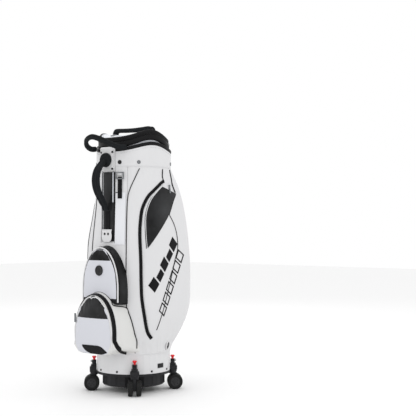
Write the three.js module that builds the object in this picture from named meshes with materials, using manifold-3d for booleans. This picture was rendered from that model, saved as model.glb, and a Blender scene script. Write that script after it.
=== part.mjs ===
// A golf staff bag on four swivelling twin casters, with a rigid travel hood that
// telescopes out of the mouth. Millimetres, +Z up. The bag's tube stands on the Z axis,
// the ball pocket faces -Y, and the two apparel pockets are at +X and -X.
import * as THREE from 'three';
import * as BufferGeometryUtils from 'three/addons/utils/BufferGeometryUtils.js';
import Module from 'manifold-3d';

const wasm = await Module();
wasm.setup();

// ---- driving dimensions -------------------------------------------------------------

const GAP = 0.35;                    // between pieces that touch on the real bag
const ROUND = 36;                    // sides of a turned piece
const CENTRE_SHIFT = 16.6;           // puts the middle of the whole bag over the origin

const FLANGE_BOTTOM = 60;
const FLANGE_TOP = 68;
const FLANGE_RADIUS = 126;
const TUB_BOTTOM = 22;
const TUB_RADIUS = 110;
const TUB_WALL = 4;
const PAD_RADIUS = 116;
const PAD_THICKNESS = 6;

const CUFF_TOP = 136;
const CUFF_RADIUS = 125;
const TUBE_RADIUS = 121;
const TUBE_WALL = 3;
const TUBE_TOP = 795;

const BODY_BOTTOM = 137;
const BODY_TOP = 757;
const NECK_RADIUS = 127;
const SIDE_REACH = 152;              // from the axis to the apparel pockets
const BACK_REACH = 172;              // from the axis to the back panel
const FRONT_REACH = 128;             // from the axis to the front column
const BACK_SQUARENESS = 4.5;
const FRONT_SQUARENESS = 3;
const FRONT_EDGE = 34;               // degrees from the front to the apparel pockets
const BACK_EDGE = 150;               // degrees from the front to the back pocket

const COLLAR_BOTTOM = 758.5;
const COLLAR_RADIUS = 127.5;
const RIM_LOW = 808;                 // bottom of the black rim trim, front and back
const RIM_RISE = 23;                 // how far the rim climbs at the sides
const CREST_ANGLE = 74;              // degrees from the front to the crest of the rim
const CREST_WIDTH = 33;
const TRIM_HEIGHT = 12;
const TRIM_RADIUS = 129;

const HOOD_RADIUS = 115;
const HOOD_WALL = 2.5;
const HOOD_BOTTOM = 400;
const HOOD_STROKE = 340;
const HOOD_TRIM_LOW = 821.4;
const HOOD_TRIM_RISE = 28;
const HOOD_TRIM_HEIGHT = 20;
const HOOD_TRIM_RADIUS = 120;
const STOP_HEIGHT = 12;
const SKIRT_HEIGHT = 16;
const LID_THICKNESS = 4;
const LID_CROWN = 6;

const DIVIDER_RADIUS = 109;
const DIVIDER_LINE = 37;             // the two cross walls stand this far off the middle
const DIVIDER_WALL = 3;
const DIVIDER_RIB = 12;
const DIVIDER_HEAD_BOTTOM = 786;
const DIVIDER_HEAD_TOP = 800;

const CASTER_OFFSET = 95;            // swivel axes stand at (+-95, +-95)
const CASTER_TRAIL = 8;
const WHEEL_RADIUS = 26;
const WHEEL_SIDES = 24;
const WHEEL_WIDTH = 16.5;
const WHEEL_INSET = 5.5;
const SWIVEL_CLEARANCE = 43;
const PIVOT_RADIUS = 5;
const POST_TOP = 103;
const POST_RADIUS = 7.5;
const BUTTON_TOP = 116;

// ---- making and cutting solids ------------------------------------------------------

function solidOf(geometry) {
  const bare = geometry.index ? geometry.toNonIndexed() : geometry.clone();
  bare.deleteAttribute('normal');
  bare.deleteAttribute('uv');
  const merged = BufferGeometryUtils.mergeVertices(bare, 1e-3);
  const vertProperties = new Float32Array(merged.attributes.position.array);
  const triangles = [];
  const corners = merged.index.array;
  for (let i = 0; i < corners.length; i += 3) {
    const [a, b, c] = [corners[i], corners[i + 1], corners[i + 2]];
    if (a !== b && b !== c && c !== a) triangles.push(a, b, c);
  }
  let triVerts = new Uint32Array(triangles);
  if (signedVolume(vertProperties, triVerts) < 0) {
    triVerts = triVerts.map((corner, i) => triVerts[i - (i % 3) + (2 - (i % 3))]);
  }
  return new wasm.Manifold(new wasm.Mesh({ numProp: 3, vertProperties, triVerts }));
}

function signedVolume(vertices, corners) {
  let sum = 0;
  const [a, b, c] = [new THREE.Vector3(), new THREE.Vector3(), new THREE.Vector3()];
  for (let i = 0; i < corners.length; i += 3) {
    a.fromArray(vertices, corners[i] * 3);
    b.fromArray(vertices, corners[i + 1] * 3);
    c.fromArray(vertices, corners[i + 2] * 3);
    sum += a.dot(b.cross(c));
  }
  return sum;
}

function geometryOf(solid) {
  const { vertProperties, triVerts } = solid.getMesh();
  const geometry = new THREE.BufferGeometry();
  geometry.setAttribute('position', new THREE.BufferAttribute(new Float32Array(vertProperties), 3));
  geometry.setIndex(new THREE.BufferAttribute(new Uint32Array(triVerts), 1));
  geometry.computeVertexNormals();
  return geometry;
}

// Moves every corner of a geometry to a new place worked out by a function.
function reshaped(geometry, place) {
  const position = geometry.attributes.position;
  const corner = new THREE.Vector3();
  for (let i = 0; i < position.count; i += 1) {
    corner.fromBufferAttribute(position, i);
    place(corner);
    position.setXYZ(i, corner.x, corner.y, corner.z);
  }
  return geometry;
}

// A piece turned about the Z axis from an outline of [radius, height] points.
function turnedGeometry(outline, sides = ROUND) {
  const points = outline.map(([radius, height]) => new THREE.Vector2(radius, height));
  return new THREE.LatheGeometry(points, sides).rotateX(Math.PI / 2);
}

function turned(outline, sides = ROUND) {
  return solidOf(turnedGeometry(outline, sides));
}

function disc(radius, bottom, top, sides = ROUND) {
  return turned([[0, bottom], [radius, bottom], [radius, top], [0, top]], sides);
}

function ringOutline(inner, outer, bottom, top) {
  return [[inner, bottom], [outer, bottom], [outer, top], [inner, top], [inner, bottom]];
}

function block(xLow, xHigh, yLow, yHigh, zLow, zHigh) {
  const geometry = new THREE.BoxGeometry(xHigh - xLow, yHigh - yLow, zHigh - zLow);
  geometry.translate((xLow + xHigh) / 2, (yLow + yHigh) / 2, (zLow + zHigh) / 2);
  return solidOf(geometry);
}

function shapeOf(points) {
  return new THREE.Shape(points.map(([x, y]) => new THREE.Vector2(x, y)));
}

// A flat outline drawn in X and Z and given a thickness along Y.
function upright(shape, yLow, yHigh, curveSegments = 7) {
  const options = { depth: yHigh - yLow, bevelEnabled: false, curveSegments };
  const geometry = new THREE.ExtrudeGeometry(shape, options).rotateX(Math.PI / 2);
  return geometry.translate(0, yHigh, 0);
}

// A soft oval bar that follows a smooth, nearly flat curve. Its first size is measured
// square to the plane of the curve and its second lies in that plane.
function swept(points, across, within, steps, sides = 8) {
  const curve = new THREE.CatmullRomCurve3(points.map((point) => new THREE.Vector3(...point)));
  const section = new THREE.Shape();
  for (let i = 0; i <= sides; i += 1) {
    const turn = (2 * Math.PI * i) / sides;
    const [x, y] = [across / 2 * Math.cos(turn), within / 2 * Math.sin(turn)];
    if (i === 0) section.moveTo(x, y);
    else if (i < sides) section.lineTo(x, y);
  }
  return solidOf(new THREE.ExtrudeGeometry(section, { steps, extrudePath: curve, curveSegments: 1 }));
}

// A slice of the round bag between two angles, counted in degrees from the front.
function slice(from, to, bottom, top) {
  const reach = 400;
  const points = [[0, 0]];
  const steps = Math.ceil((to - from) / 15);
  for (let i = 0; i <= steps; i += 1) {
    const angle = THREE.MathUtils.degToRad(from + ((to - from) * i) / steps);
    points.push([reach * Math.sin(angle), -reach * Math.cos(angle)]);
  }
  const geometry = new THREE.ExtrudeGeometry(shapeOf(points), { depth: top - bottom, bevelEnabled: false });
  return solidOf(geometry.translate(0, 0, bottom));
}

// ---- the bag's outer surface --------------------------------------------------------

// How full the pockets are at each height: 0 is the bare neck, 1 is the widest belly.
const BELLY = [
  [BODY_BOTTOM, 0], [157, 0.12], [194, 0.45], [244, 0.79], [285, 0.95], [333, 1], [421, 1],
  [490, 0.94], [565, 0.87], [634, 0.73], [668, 0.6], [701, 0.43], [730, 0.22], [BODY_TOP, 0],
];
const FRONT_FADE_START = 480;        // the front corners thin out lower down than the back
const FRONT_FADE_END = 690;

function fullness(height) {
  let i = 1;
  while (i < BELLY.length - 1 && height > BELLY[i][0]) i += 1;
  const [low, lowFull] = BELLY[i - 1];
  const [high, highFull] = BELLY[i];
  const share = THREE.MathUtils.clamp((height - low) / (high - low), 0, 1);
  return lowFull + (highFull - lowFull) * share;
}

// Distance from the axis to the bag's skin, in a direction and at a height.
function skinRadius(angle, height, proud = 0) {
  const forward = Math.cos(angle);
  const isFront = forward > 0;
  const reach = isFront ? FRONT_REACH : BACK_REACH;
  const power = isFront ? FRONT_SQUARENESS : BACK_SQUARENESS;
  const across = Math.abs(Math.sin(angle) / SIDE_REACH) ** power;
  const along = Math.abs(forward / reach) ** power;
  const widest = (across + along) ** (-1 / power);
  const fade = 1 - THREE.MathUtils.smoothstep(height, FRONT_FADE_START, FRONT_FADE_END);
  const frontShare = (1 + forward) / 2;
  const full = fullness(height) * (1 + (fade - 1) * frontShare);
  return NECK_RADIUS + (widest - NECK_RADIUS) * full + proud;
}

// The whole body as one solid, its skin moved outwards by a given distance.
function bodySolid(proud, bottom = BODY_BOTTOM, top = BODY_TOP, sides = 48) {
  const levels = BELLY.map(([height]) => height).filter((height) => height > bottom && height < top);
  const rows = [bottom, ...levels, top];
  const outline = [[0, bottom], ...rows.map((height) => [1, height]), [0, top]];
  const geometry = reshaped(turnedGeometry(outline, sides), (corner) => {
    const reach = Math.hypot(corner.x, corner.y);
    if (reach < 0.5) return;
    const radius = skinRadius(Math.atan2(corner.x, -corner.y), corner.z, proud);
    corner.x *= radius / reach;
    corner.y *= radius / reach;
  });
  return solidOf(geometry);
}

// A thin layer that lies on the skin of the body, inside a cutting solid.
function skinLayer(from, to, cutter) {
  return bodySolid(to).intersect(cutter).subtract(bodySolid(from));
}

// Share of the rim's climb at an angle: 1 at the crests beside the bag, 0 front and back.
function climb(x, y) {
  const angle = Math.abs(THREE.MathUtils.radToDeg(Math.atan2(x, -y)));
  return Math.exp(-(((angle - CREST_ANGLE) / CREST_WIDTH) ** 2));
}

// A ring that follows the wave of the rim: corners below the split climb by one amount
// at the crests, and corners above it by another.
function waveRing(outline, lowRise, highRise, split, sides = ROUND) {
  const geometry = reshaped(turnedGeometry(outline, sides), (corner) => {
    const rise = corner.z > split ? highRise : lowRise;
    corner.z += rise * climb(corner.x, corner.y);
  });
  return solidOf(geometry);
}

// ---- the group and its materials ----------------------------------------------------

const bag = new THREE.Group();
bag.position.y = CENTRE_SHIFT;

function finish(color, roughness, metalness = 0) {
  return new THREE.MeshStandardMaterial({ color, roughness, metalness });
}

const WHITE_LEATHER = finish(0xe9e9ea, 0.5);
const WHITE_SHELL = finish(0xf0f2f6, 0.35);
const GREY_PANEL = finish(0xd9dade, 0.55);
const BLACK_LEATHER = finish(0x0c0c0d, 0.3);
const BLACK_PLASTIC = finish(0x101011, 0.5);
const BLACK_WEBBING = finish(0x0e0e0f, 0.85);
const BLACK_TYRE = finish(0x0b0b0c, 0.7);
const RED_PLASTIC = finish(0xd9060f, 0.35);
const DARK_METAL = finish(0x77787a, 0.35, 1);
const PALE_FOAM = finish(0x3a3a3c, 0.9);

function place(name, solid, material, parent = bag) {
  const mesh = new THREE.Mesh(geometryOf(solid), material);
  mesh.name = name;
  parent.add(mesh);
  return mesh;
}

// ---- base, cuff and tube ------------------------------------------------------------

const CASTER_SIGNS = [[1, -1], [1, 1], [-1, 1], [-1, -1]];
const ARM_RADIUS = 15;
const PIVOT_BORE = PIVOT_RADIUS + 0.4;

function atEachCaster(solid, action) {
  let result = solid;
  for (const [xSign, ySign] of CASTER_SIGNS) {
    result = action(result, xSign * CASTER_OFFSET, ySign * CASTER_OFFSET);
  }
  return result;
}

function tubSolid(radius, clearance, bottom, top, chamfer) {
  const outline = [
    [0, bottom], [radius - chamfer, bottom], [radius, bottom + chamfer], [radius, top], [0, top],
  ];
  const notch = disc(clearance, bottom - 1, top + 1, 20);
  return atEachCaster(turned(outline), (tub, x, y) => tub.subtract(notch.translate([x, y, 0])));
}

function baseTray() {
  const tub = tubSolid(TUB_RADIUS, SWIVEL_CLEARANCE, TUB_BOTTOM, FLANGE_BOTTOM, 6);
  const arm = disc(ARM_RADIUS, FLANGE_BOTTOM, FLANGE_TOP - 1, 16);
  const bore = disc(PIVOT_BORE, FLANGE_BOTTOM - 1, FLANGE_TOP + 1, 12);
  const hollow = tubSolid(
    TUB_RADIUS - TUB_WALL, SWIVEL_CLEARANCE + TUB_WALL, TUB_BOTTOM + TUB_WALL, FLANGE_BOTTOM + 3, 4,
  );
  let tray = disc(FLANGE_RADIUS, FLANGE_BOTTOM, FLANGE_TOP).add(tub);
  tray = atEachCaster(tray, (solid, x, y) => solid.add(arm.translate([x, y, 0])));
  tray = atEachCaster(tray, (solid, x, y) => solid.subtract(bore.translate([x, y, 0])));
  const recess = disc(PAD_RADIUS + GAP, FLANGE_TOP - PAD_THICKNESS - GAP, FLANGE_TOP + 1);
  return tray.subtract(hollow).subtract(recess);
}

place('base_tray', baseTray(), BLACK_PLASTIC);

// The padded floor is a foam block that fills the tub and spreads over its edge.
function floorPad() {
  const inset = TUB_WALL + GAP;
  const radius = TUB_RADIUS - inset;
  const plug = tubSolid(radius, SWIVEL_CLEARANCE + inset, TUB_BOTTOM + inset, FLANGE_BOTTOM + 3, 4);
  return plug.add(disc(PAD_RADIUS, FLANGE_TOP - PAD_THICKNESS, FLANGE_TOP));
}

place('floor_pad', floorPad(), PALE_FOAM);

const cuffOutline = ringOutline(TUBE_RADIUS + GAP, CUFF_RADIUS, FLANGE_TOP + GAP, CUFF_TOP);
place('base_cuff', turned(cuffOutline), WHITE_LEATHER);
const tubeOutline = ringOutline(TUBE_RADIUS - TUBE_WALL, TUBE_RADIUS, FLANGE_TOP + GAP, TUBE_TOP);
place('stiffener_tube', turned(tubeOutline), BLACK_PLASTIC);

// ---- the soft body ------------------------------------------------------------------

const CHANNEL_HALF_ANGLE = 14;
const CHANNEL_BOTTOM = 509;
const CHANNEL_TOP = 741;
const CHANNEL_RADIUS = 124.3;
const tubeCore = disc(TUBE_RADIUS + 0.7, BODY_BOTTOM - 5, BODY_TOP + 5);
const body = bodySolid(0).subtract(tubeCore);
const SEAM = 0.2;                    // degrees left open on each side of a seam

function bodyPiece(from, to) {
  return body.intersect(slice(from + SEAM, to - SEAM, BODY_BOTTOM - 5, BODY_TOP + 5));
}

const channelRecess = slice(
  -CHANNEL_HALF_ANGLE - SEAM, CHANNEL_HALF_ANGLE + SEAM, CHANNEL_BOTTOM - GAP, CHANNEL_TOP + GAP,
);
place('front_panel', bodyPiece(-FRONT_EDGE, FRONT_EDGE).subtract(channelRecess), WHITE_LEATHER);
place('side_pocket_right', bodyPiece(FRONT_EDGE, BACK_EDGE), WHITE_LEATHER);
place('side_pocket_left', bodyPiece(-BACK_EDGE, -FRONT_EDGE), WHITE_LEATHER);
place('back_pocket', bodyPiece(BACK_EDGE, 360 - BACK_EDGE), WHITE_LEATHER);

// An arched outline: straight sides with a half-round or rounded top.
function archShape(halfWidth, bottom, top, corner) {
  const shape = new THREE.Shape();
  shape.moveTo(-halfWidth, bottom);
  shape.lineTo(halfWidth, bottom);
  shape.lineTo(halfWidth, top - corner);
  shape.bezierCurveTo(halfWidth, top - corner * 0.45, halfWidth * 0.55, top, 0, top);
  shape.bezierCurveTo(-halfWidth * 0.55, top, -halfWidth, top - corner * 0.45, -halfWidth, top - corner);
  shape.closePath();
  return shape;
}

const backPanelCutter = solidOf(upright(archShape(81, 226, 590, 95), 120, 240));
place('back_panel', skinLayer(GAP, 4, backPanelCutter), GREY_PANEL);

// The front pockets taper from a wide root on the body to a smaller face.
function taperedPocket(shape, face, root, faceScale, middle) {
  const geometry = reshaped(upright(shape, face, root), (corner) => {
    const share = (corner.y - face) / (root - face);
    const scale = faceScale + (1 - faceScale) * share;
    corner.x *= scale;
    corner.z = middle + (corner.z - middle) * scale;
  });
  return solidOf(geometry);
}

const BALL_FACE = -196;
const BALL_ROOT = -60;
const ballBlock = taperedPocket(archShape(108, 139, 372, 150), BALL_FACE, BALL_ROOT, 0.84, 139);
place('ball_pocket', ballBlock.subtract(bodySolid(GAP)), WHITE_LEATHER);

const upperBlock = taperedPocket(archShape(92, 300, 512, 150), -164, BALL_ROOT, 0.88, 320);
const upperClearance = taperedPocket(archShape(108, 130, 373, 150), BALL_FACE - 1, BALL_ROOT, 0.845, 139);
const upperPocket = upperBlock.subtract(bodySolid(GAP)).subtract(upperClearance);
place('front_pocket', upperPocket, WHITE_LEATHER);
const buttonDisc = disc(17, 0, 4, 20).rotate([90, 0, 0]);
place('magnet_button', buttonDisc.translate([0, -164.6, 413]), BLACK_PLASTIC);

// ---- front column: channel, carry handle, umbrella strap ----------------------------

const channelRing = turned(ringOutline(TUBE_RADIUS + 1, CHANNEL_RADIUS, CHANNEL_BOTTOM, CHANNEL_TOP));
const channelSlice = slice(-CHANNEL_HALF_ANGLE, CHANNEL_HALF_ANGLE, CHANNEL_BOTTOM, CHANNEL_TOP);
place('handle_channel', channelRing.intersect(channelSlice), BLACK_LEATHER);

const STRAP_BACK = -CHANNEL_RADIUS - GAP;
const STRAP_FACE = STRAP_BACK - 2.8;
const strapBlock = block(-10, 10, STRAP_FACE, STRAP_BACK, 532, 610);
place('handle_strap', strapBlock, BLACK_WEBBING);
const TAB_BACK = STRAP_FACE - GAP;
place('handle_lower_tab', block(-17, 17, TAB_BACK - 3, TAB_BACK, 512, 548), WHITE_LEATHER);

const plateRing = turned(ringOutline(TRIM_RADIUS + GAP, TRIM_RADIUS + 3.4, 744, 821));
const plateCutter = block(-33, 33, -160, -60, 740, 822);
place('handle_plate', plateRing.intersect(plateCutter), WHITE_LEATHER);

const PLATE_FACE = -(TRIM_RADIUS + 3.4 + GAP);
const handleDisc = disc(24, 0, 11, 20).rotate([90, 0, 0]).translate([0, PLATE_FACE, 781]);
const handleRoute = [
  [0, PLATE_FACE - 8, 789], [0, -155, 768], [0, -175, 746], [0, -184, 716],
  [0, -178, 683], [0, -159, 652], [0, -142, 630], [0, -136.6, 613],
];
place('carry_handle', swept(handleRoute, 30, 14, 16).add(handleDisc), BLACK_WEBBING);

const STRAP_FROM = 19.5;             // degrees from the front to the strap beside the channel
const STRAP_TO = 26;
const strapSlice = slice(STRAP_FROM, STRAP_TO, 652, 724);
place('umbrella_strap', skinLayer(GAP + 1.9, 4.4, strapSlice), BLACK_WEBBING);
const patchSlice = slice(15, 31.5, 499, 672);
place('glove_patch', skinLayer(GAP, 1.9, patchSlice), GREY_PANEL);

// The umbrella ring is a flat D that hangs from the top of its strap.
const RING_ANGLE = 23;
const ringGroup = new THREE.Group();
ringGroup.rotation.z = THREE.MathUtils.degToRad(RING_ANGLE);
bag.add(ringGroup);
const RING_DEPTH = -134.5;
const ringOuter = block(-15, 15, RING_DEPTH - 1.6, RING_DEPTH + 1.6, 716, 740);
const ringInner = block(-11.5, 11.5, RING_DEPTH - 5, RING_DEPTH + 5, 719.5, 736.5);
place('umbrella_ring', ringOuter.subtract(ringInner), DARK_METAL, ringGroup);

// ---- collar and rim -----------------------------------------------------------------

const COLLAR_MIDDLE = 780;
const collarOutline = [
  [TUBE_RADIUS + GAP, COLLAR_BOTTOM], [COLLAR_RADIUS, COLLAR_BOTTOM],
  [COLLAR_RADIUS, RIM_LOW - GAP], [TUBE_RADIUS + GAP, RIM_LOW - GAP], [TUBE_RADIUS + GAP, COLLAR_BOTTOM],
];
place('collar_shell', waveRing(collarOutline, 0, RIM_RISE, COLLAR_MIDDLE), WHITE_LEATHER);
const trimOutline = ringOutline(TUBE_RADIUS + GAP, TRIM_RADIUS, RIM_LOW, RIM_LOW + TRIM_HEIGHT);
const collarTrim = waveRing(trimOutline, RIM_RISE, RIM_RISE, RIM_LOW);
place('collar_trim', collarTrim, BLACK_LEATHER);

// Only one half is drawn: the other half of the loop is its mirror image.
const loopHalf = [
  [72, -115, 822], [68, -138, 821], [58, -165, 828], [42, -186, 840], [20, -198, 850],
];
const mirrored = loopHalf.map(([x, y, z]) => [-x, y, z]).reverse();
const loopBar = swept([...loopHalf, [0, -201, 854], ...mirrored], 13, 18, 26);
const loopClearance = disc(TRIM_RADIUS + GAP, COLLAR_BOTTOM, 880);
place('grab_loop', loopBar.subtract(loopClearance), BLACK_WEBBING);

const guideTop = HOOD_BOTTOM + STOP_HEIGHT + HOOD_STROKE + GAP + 12;
const guideOutline = ringOutline(
  HOOD_RADIUS + GAP, TUBE_RADIUS - TUBE_WALL - GAP, HOOD_BOTTOM + STOP_HEIGHT + HOOD_STROKE + GAP, guideTop,
);
place('hood_guide_ring', turned(guideOutline), BLACK_PLASTIC);

// ---- dividers -----------------------------------------------------------------------

function dividerGrid(radius, thickness, bottom, top) {
  const half = thickness / 2;
  const reach = Math.sqrt(radius ** 2 - (DIVIDER_LINE + half) ** 2);
  const along = block(-half, half, -radius, radius, bottom, top);
  const front = block(-reach, reach, -DIVIDER_LINE - half, -DIVIDER_LINE + half, bottom, top);
  return along.add(front).add(front.translate([0, 2 * DIVIDER_LINE, 0]));
}

const wallTop = DIVIDER_HEAD_BOTTOM - GAP;
place('divider_walls', dividerGrid(DIVIDER_RADIUS, DIVIDER_WALL, FLANGE_TOP + GAP, wallTop), PALE_FOAM);
const headOutline = ringOutline(DIVIDER_RADIUS - 6, DIVIDER_RADIUS + 2, DIVIDER_HEAD_BOTTOM, DIVIDER_HEAD_TOP);
const headRing = turned(headOutline);
const headGrid = dividerGrid(DIVIDER_RADIUS - 2, DIVIDER_RIB, DIVIDER_HEAD_BOTTOM, DIVIDER_HEAD_TOP);
place('divider_head', headRing.add(headGrid), BLACK_WEBBING);

// ---- travel hood --------------------------------------------------------------------

const HOOD_INNER = HOOD_RADIUS - HOOD_WALL;
const HOOD_RIM = HOOD_TRIM_LOW + 12;
const hoodOutline = ringOutline(HOOD_INNER, HOOD_RADIUS, HOOD_BOTTOM, HOOD_RIM);
place('hood_tube', waveRing(hoodOutline, 0, HOOD_TRIM_RISE, COLLAR_MIDDLE), WHITE_SHELL);
const stopOutline = ringOutline(
  HOOD_RADIUS + GAP, TUBE_RADIUS - TUBE_WALL - GAP, HOOD_BOTTOM, HOOD_BOTTOM + STOP_HEIGHT,
);
place('hood_stop_ring', turned(stopOutline), BLACK_PLASTIC);

const hoodTrimTop = HOOD_TRIM_LOW + HOOD_TRIM_HEIGHT;
const hoodTrimOutline = [
  [HOOD_RADIUS + GAP, HOOD_TRIM_LOW], [HOOD_TRIM_RADIUS + 2, HOOD_TRIM_LOW],
  [HOOD_TRIM_RADIUS, hoodTrimTop], [HOOD_INNER, hoodTrimTop],
  [HOOD_INNER, HOOD_RIM + GAP], [HOOD_RADIUS + GAP, HOOD_RIM + GAP],
  [HOOD_RADIUS + GAP, HOOD_TRIM_LOW],
];
place('hood_trim', waveRing(hoodTrimOutline, HOOD_TRIM_RISE, HOOD_TRIM_RISE, 0), BLACK_LEATHER);

// ---- lid ----------------------------------------------------------------------------

const SKIRT_BOTTOM = hoodTrimTop + 0.8;
const SKIRT_TOP = SKIRT_BOTTOM + SKIRT_HEIGHT;
const SKIRT_RADIUS = 118.5;
const SKIRT_WALL = 4;
const LID_RISE = 27;                 // the lid's edge climbs a little less than the rim
const skirtOutline = ringOutline(SKIRT_RADIUS - SKIRT_WALL, SKIRT_RADIUS, SKIRT_BOTTOM, SKIRT_TOP);
const skirt = waveRing(skirtOutline, HOOD_TRIM_RISE, LID_RISE, SKIRT_BOTTOM + 5);
place('lid_skirt', skirt, BLACK_LEATHER);

// The lid is a saddle: its edge follows the rim and its middle is slightly crowned.
function lidDome(radius) {
  const bottom = SKIRT_TOP - LID_THICKNESS - 2;
  const radii = [0, 40, 80, radius];
  const outline = [
    ...radii.map((reach) => [reach, bottom]),
    ...radii.map((reach) => [reach, bottom + LID_THICKNESS]).reverse(),
  ];
  const geometry = reshaped(turnedGeometry(outline), (corner) => {
    const share = Math.hypot(corner.x, corner.y) / radius;
    const edge = share > 0.01 ? climb(corner.x, corner.y) * share ** 2 : 0;
    corner.z += LID_RISE * edge + LID_CROWN * (1 - share ** 2);
  });
  return solidOf(geometry);
}

const LID_RADIUS = SKIRT_RADIUS - SKIRT_WALL - GAP;
place('lid_dome', lidDome(LID_RADIUS), WHITE_SHELL);

const handleHalf = [[88, 0, 869.4], [88, 0, 880], [84, 0, 889.5], [74, 0, 893.4]];
const handleMirror = handleHalf.map(([x, y, z]) => [-x, y, z]).reverse();
const lidBar = swept([...handleHalf, [40, 0, 892], [0, 0, 891], [-40, 0, 892], ...handleMirror], 20, 13, 24);
const lidClearance = lidDome(LID_RADIUS).translate([0, 0, GAP]);
const clearanceBelow = lidClearance.translate([0, 0, -LID_THICKNESS / 2]);
const lidHandle = lidBar.subtract(lidClearance).subtract(clearanceBelow);
place('lid_handle', lidHandle, BLACK_WEBBING);

// ---- casters ------------------------------------------------------------------------

function casterHousing() {
  const outward = block(-8.4, ARM_RADIUS, -15, 15, FLANGE_TOP - 1 + GAP, 80);
  const shoulder = block(-8.4, 11, -10.5, 10.5, 79, 88);
  const post = disc(POST_RADIUS, 87, POST_TOP, 16);
  const pivotBore = disc(PIVOT_BORE, 60, 81, 12);
  const buttonBore = disc(4.5, 85, POST_TOP + 1, 16);
  const cuffClearance = disc(CUFF_RADIUS + GAP, 60, 120).translate([-CASTER_OFFSET * Math.SQRT2, 0, 0]);
  const flangeClearance = disc(FLANGE_RADIUS + GAP, 60, FLANGE_TOP + GAP);
  const solid = outward.add(shoulder).add(post).subtract(pivotBore).subtract(buttonBore);
  return solid.subtract(cuffClearance)
    .subtract(flangeClearance.translate([-CASTER_OFFSET * Math.SQRT2, 0, 0]));
}

// The swivel carries the pivot, the web between the wheels and their axle in one piece.
function casterSwivel() {
  const pivot = disc(PIVOT_RADIUS, 57, 80, 12);
  const race = disc(13, 53.4, FLANGE_BOTTOM - 0.6, 20);
  const webShape = new THREE.Shape();
  webShape.moveTo(-9, 55);
  webShape.lineTo(-6, 34);
  webShape.absarc(CASTER_TRAIL, WHEEL_RADIUS, 9, Math.PI, 2 * Math.PI, false);
  webShape.lineTo(15, 55);
  webShape.closePath();
  const web = solidOf(upright(webShape, -4.5, 4.5));
  const reach = WHEEL_INSET + WHEEL_WIDTH + 1;
  const axle = disc(4, -reach, reach, 12).rotate([90, 0, 0]);
  return pivot.add(race).add(web).add(axle.translate([CASTER_TRAIL, 0, WHEEL_RADIUS]));
}

// The wheel stands on one of its flats, with the flats at the wheel's true radius.
function casterWheel() {
  const rim = WHEEL_RADIUS / Math.cos(Math.PI / WHEEL_SIDES);
  const outline = [
    [4.4, 0], [rim - 2.5, 0], [rim, 3], [rim, WHEEL_WIDTH - 3], [rim - 2.5, WHEEL_WIDTH],
    [4.4, WHEEL_WIDTH], [4.4, 0],
  ];
  return turned(outline, WHEEL_SIDES).rotate([90, 180 / WHEEL_SIDES, 0]);
}

function casterButton() {
  const outline = [
    [0, 89], [3.9, 89], [3.9, POST_TOP + 4.6], [7.3, 112], [7.3, 114.6], [5.8, BUTTON_TOP], [0, BUTTON_TOP],
  ];
  return turned(outline, 16);
}

CASTER_SIGNS.forEach(([xSign, ySign], index) => {
  const caster = new THREE.Group();
  caster.position.set(xSign * CASTER_OFFSET, ySign * CASTER_OFFSET, 0);
  caster.rotation.z = Math.atan2(ySign, xSign);
  bag.add(caster);
  const number = index + 1;
  place(`caster_housing_${number}`, casterHousing(), BLACK_PLASTIC, caster);
  place(`caster_swivel_${number}`, casterSwivel(), BLACK_PLASTIC, caster);
  place(`caster_button_${number}`, casterButton(), RED_PLASTIC, caster);
  for (const [letter, inner] of [['a', -WHEEL_INSET], ['b', WHEEL_INSET + WHEEL_WIDTH]]) {
    const wheel = place(`caster_wheel_${number}${letter}`, casterWheel(), BLACK_TYRE, caster);
    wheel.position.set(CASTER_TRAIL, inner, WHEEL_RADIUS);
  }
});

// ---- zip pulls ----------------------------------------------------------------------

const PULL_HALF_ANGLE = 1.3;
const PULL_LENGTH = 28;
const zipPulls = [
  ['side_zip_pull_right', 104, 700, 2.4], ['side_zip_pull_left', -104, 700, 2.4],
  ['back_zip_pull_right', 175, 588, 5.2], ['back_zip_pull_left', 185, 588, 5.2],
];
for (const [name, angle, top, proud] of zipPulls) {
  const cutter = slice(angle - PULL_HALF_ANGLE, angle + PULL_HALF_ANGLE, top - PULL_LENGTH, top);
  place(name, skinLayer(proud, proud + 2, cutter), DARK_METAL);
}
place('ball_zip_pull', block(-83.5, -76.5, BALL_FACE - 3, BALL_FACE - 1, 240, 270), DARK_METAL);

export default bag;
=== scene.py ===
# %% [markdown]
# # Dressing a golf staff bag
# The hard design (tube, tray, casters, hood, joints) is already packed as a fixed frame. This
# lesson puts the soft, sewn and printed pieces around it: panels, pockets, zips, piping,
# handles, snaps and rivets. Everything is built in metres from the frame's own boxes.

# %% load the frame
import math

import bmesh
import bpy
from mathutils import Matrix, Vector, noise
from mathutils.bvhtree import BVHTree


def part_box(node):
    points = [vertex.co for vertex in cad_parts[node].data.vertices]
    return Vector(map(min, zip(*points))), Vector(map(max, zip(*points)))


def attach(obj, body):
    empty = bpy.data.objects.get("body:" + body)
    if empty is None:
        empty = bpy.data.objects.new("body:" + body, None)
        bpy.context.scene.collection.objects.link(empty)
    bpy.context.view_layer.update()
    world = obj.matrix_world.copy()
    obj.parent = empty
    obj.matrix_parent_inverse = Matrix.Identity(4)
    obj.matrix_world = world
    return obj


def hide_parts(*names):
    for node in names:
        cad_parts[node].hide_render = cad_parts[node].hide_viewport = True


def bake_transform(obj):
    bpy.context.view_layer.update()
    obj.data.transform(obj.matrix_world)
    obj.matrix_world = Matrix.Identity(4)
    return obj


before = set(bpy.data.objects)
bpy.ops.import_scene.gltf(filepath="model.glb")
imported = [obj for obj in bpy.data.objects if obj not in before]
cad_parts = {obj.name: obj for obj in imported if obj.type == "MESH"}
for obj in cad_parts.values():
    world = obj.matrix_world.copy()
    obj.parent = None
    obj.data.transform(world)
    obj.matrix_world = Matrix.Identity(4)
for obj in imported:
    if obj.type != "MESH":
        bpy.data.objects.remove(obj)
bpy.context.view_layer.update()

MM = 0.001

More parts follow.
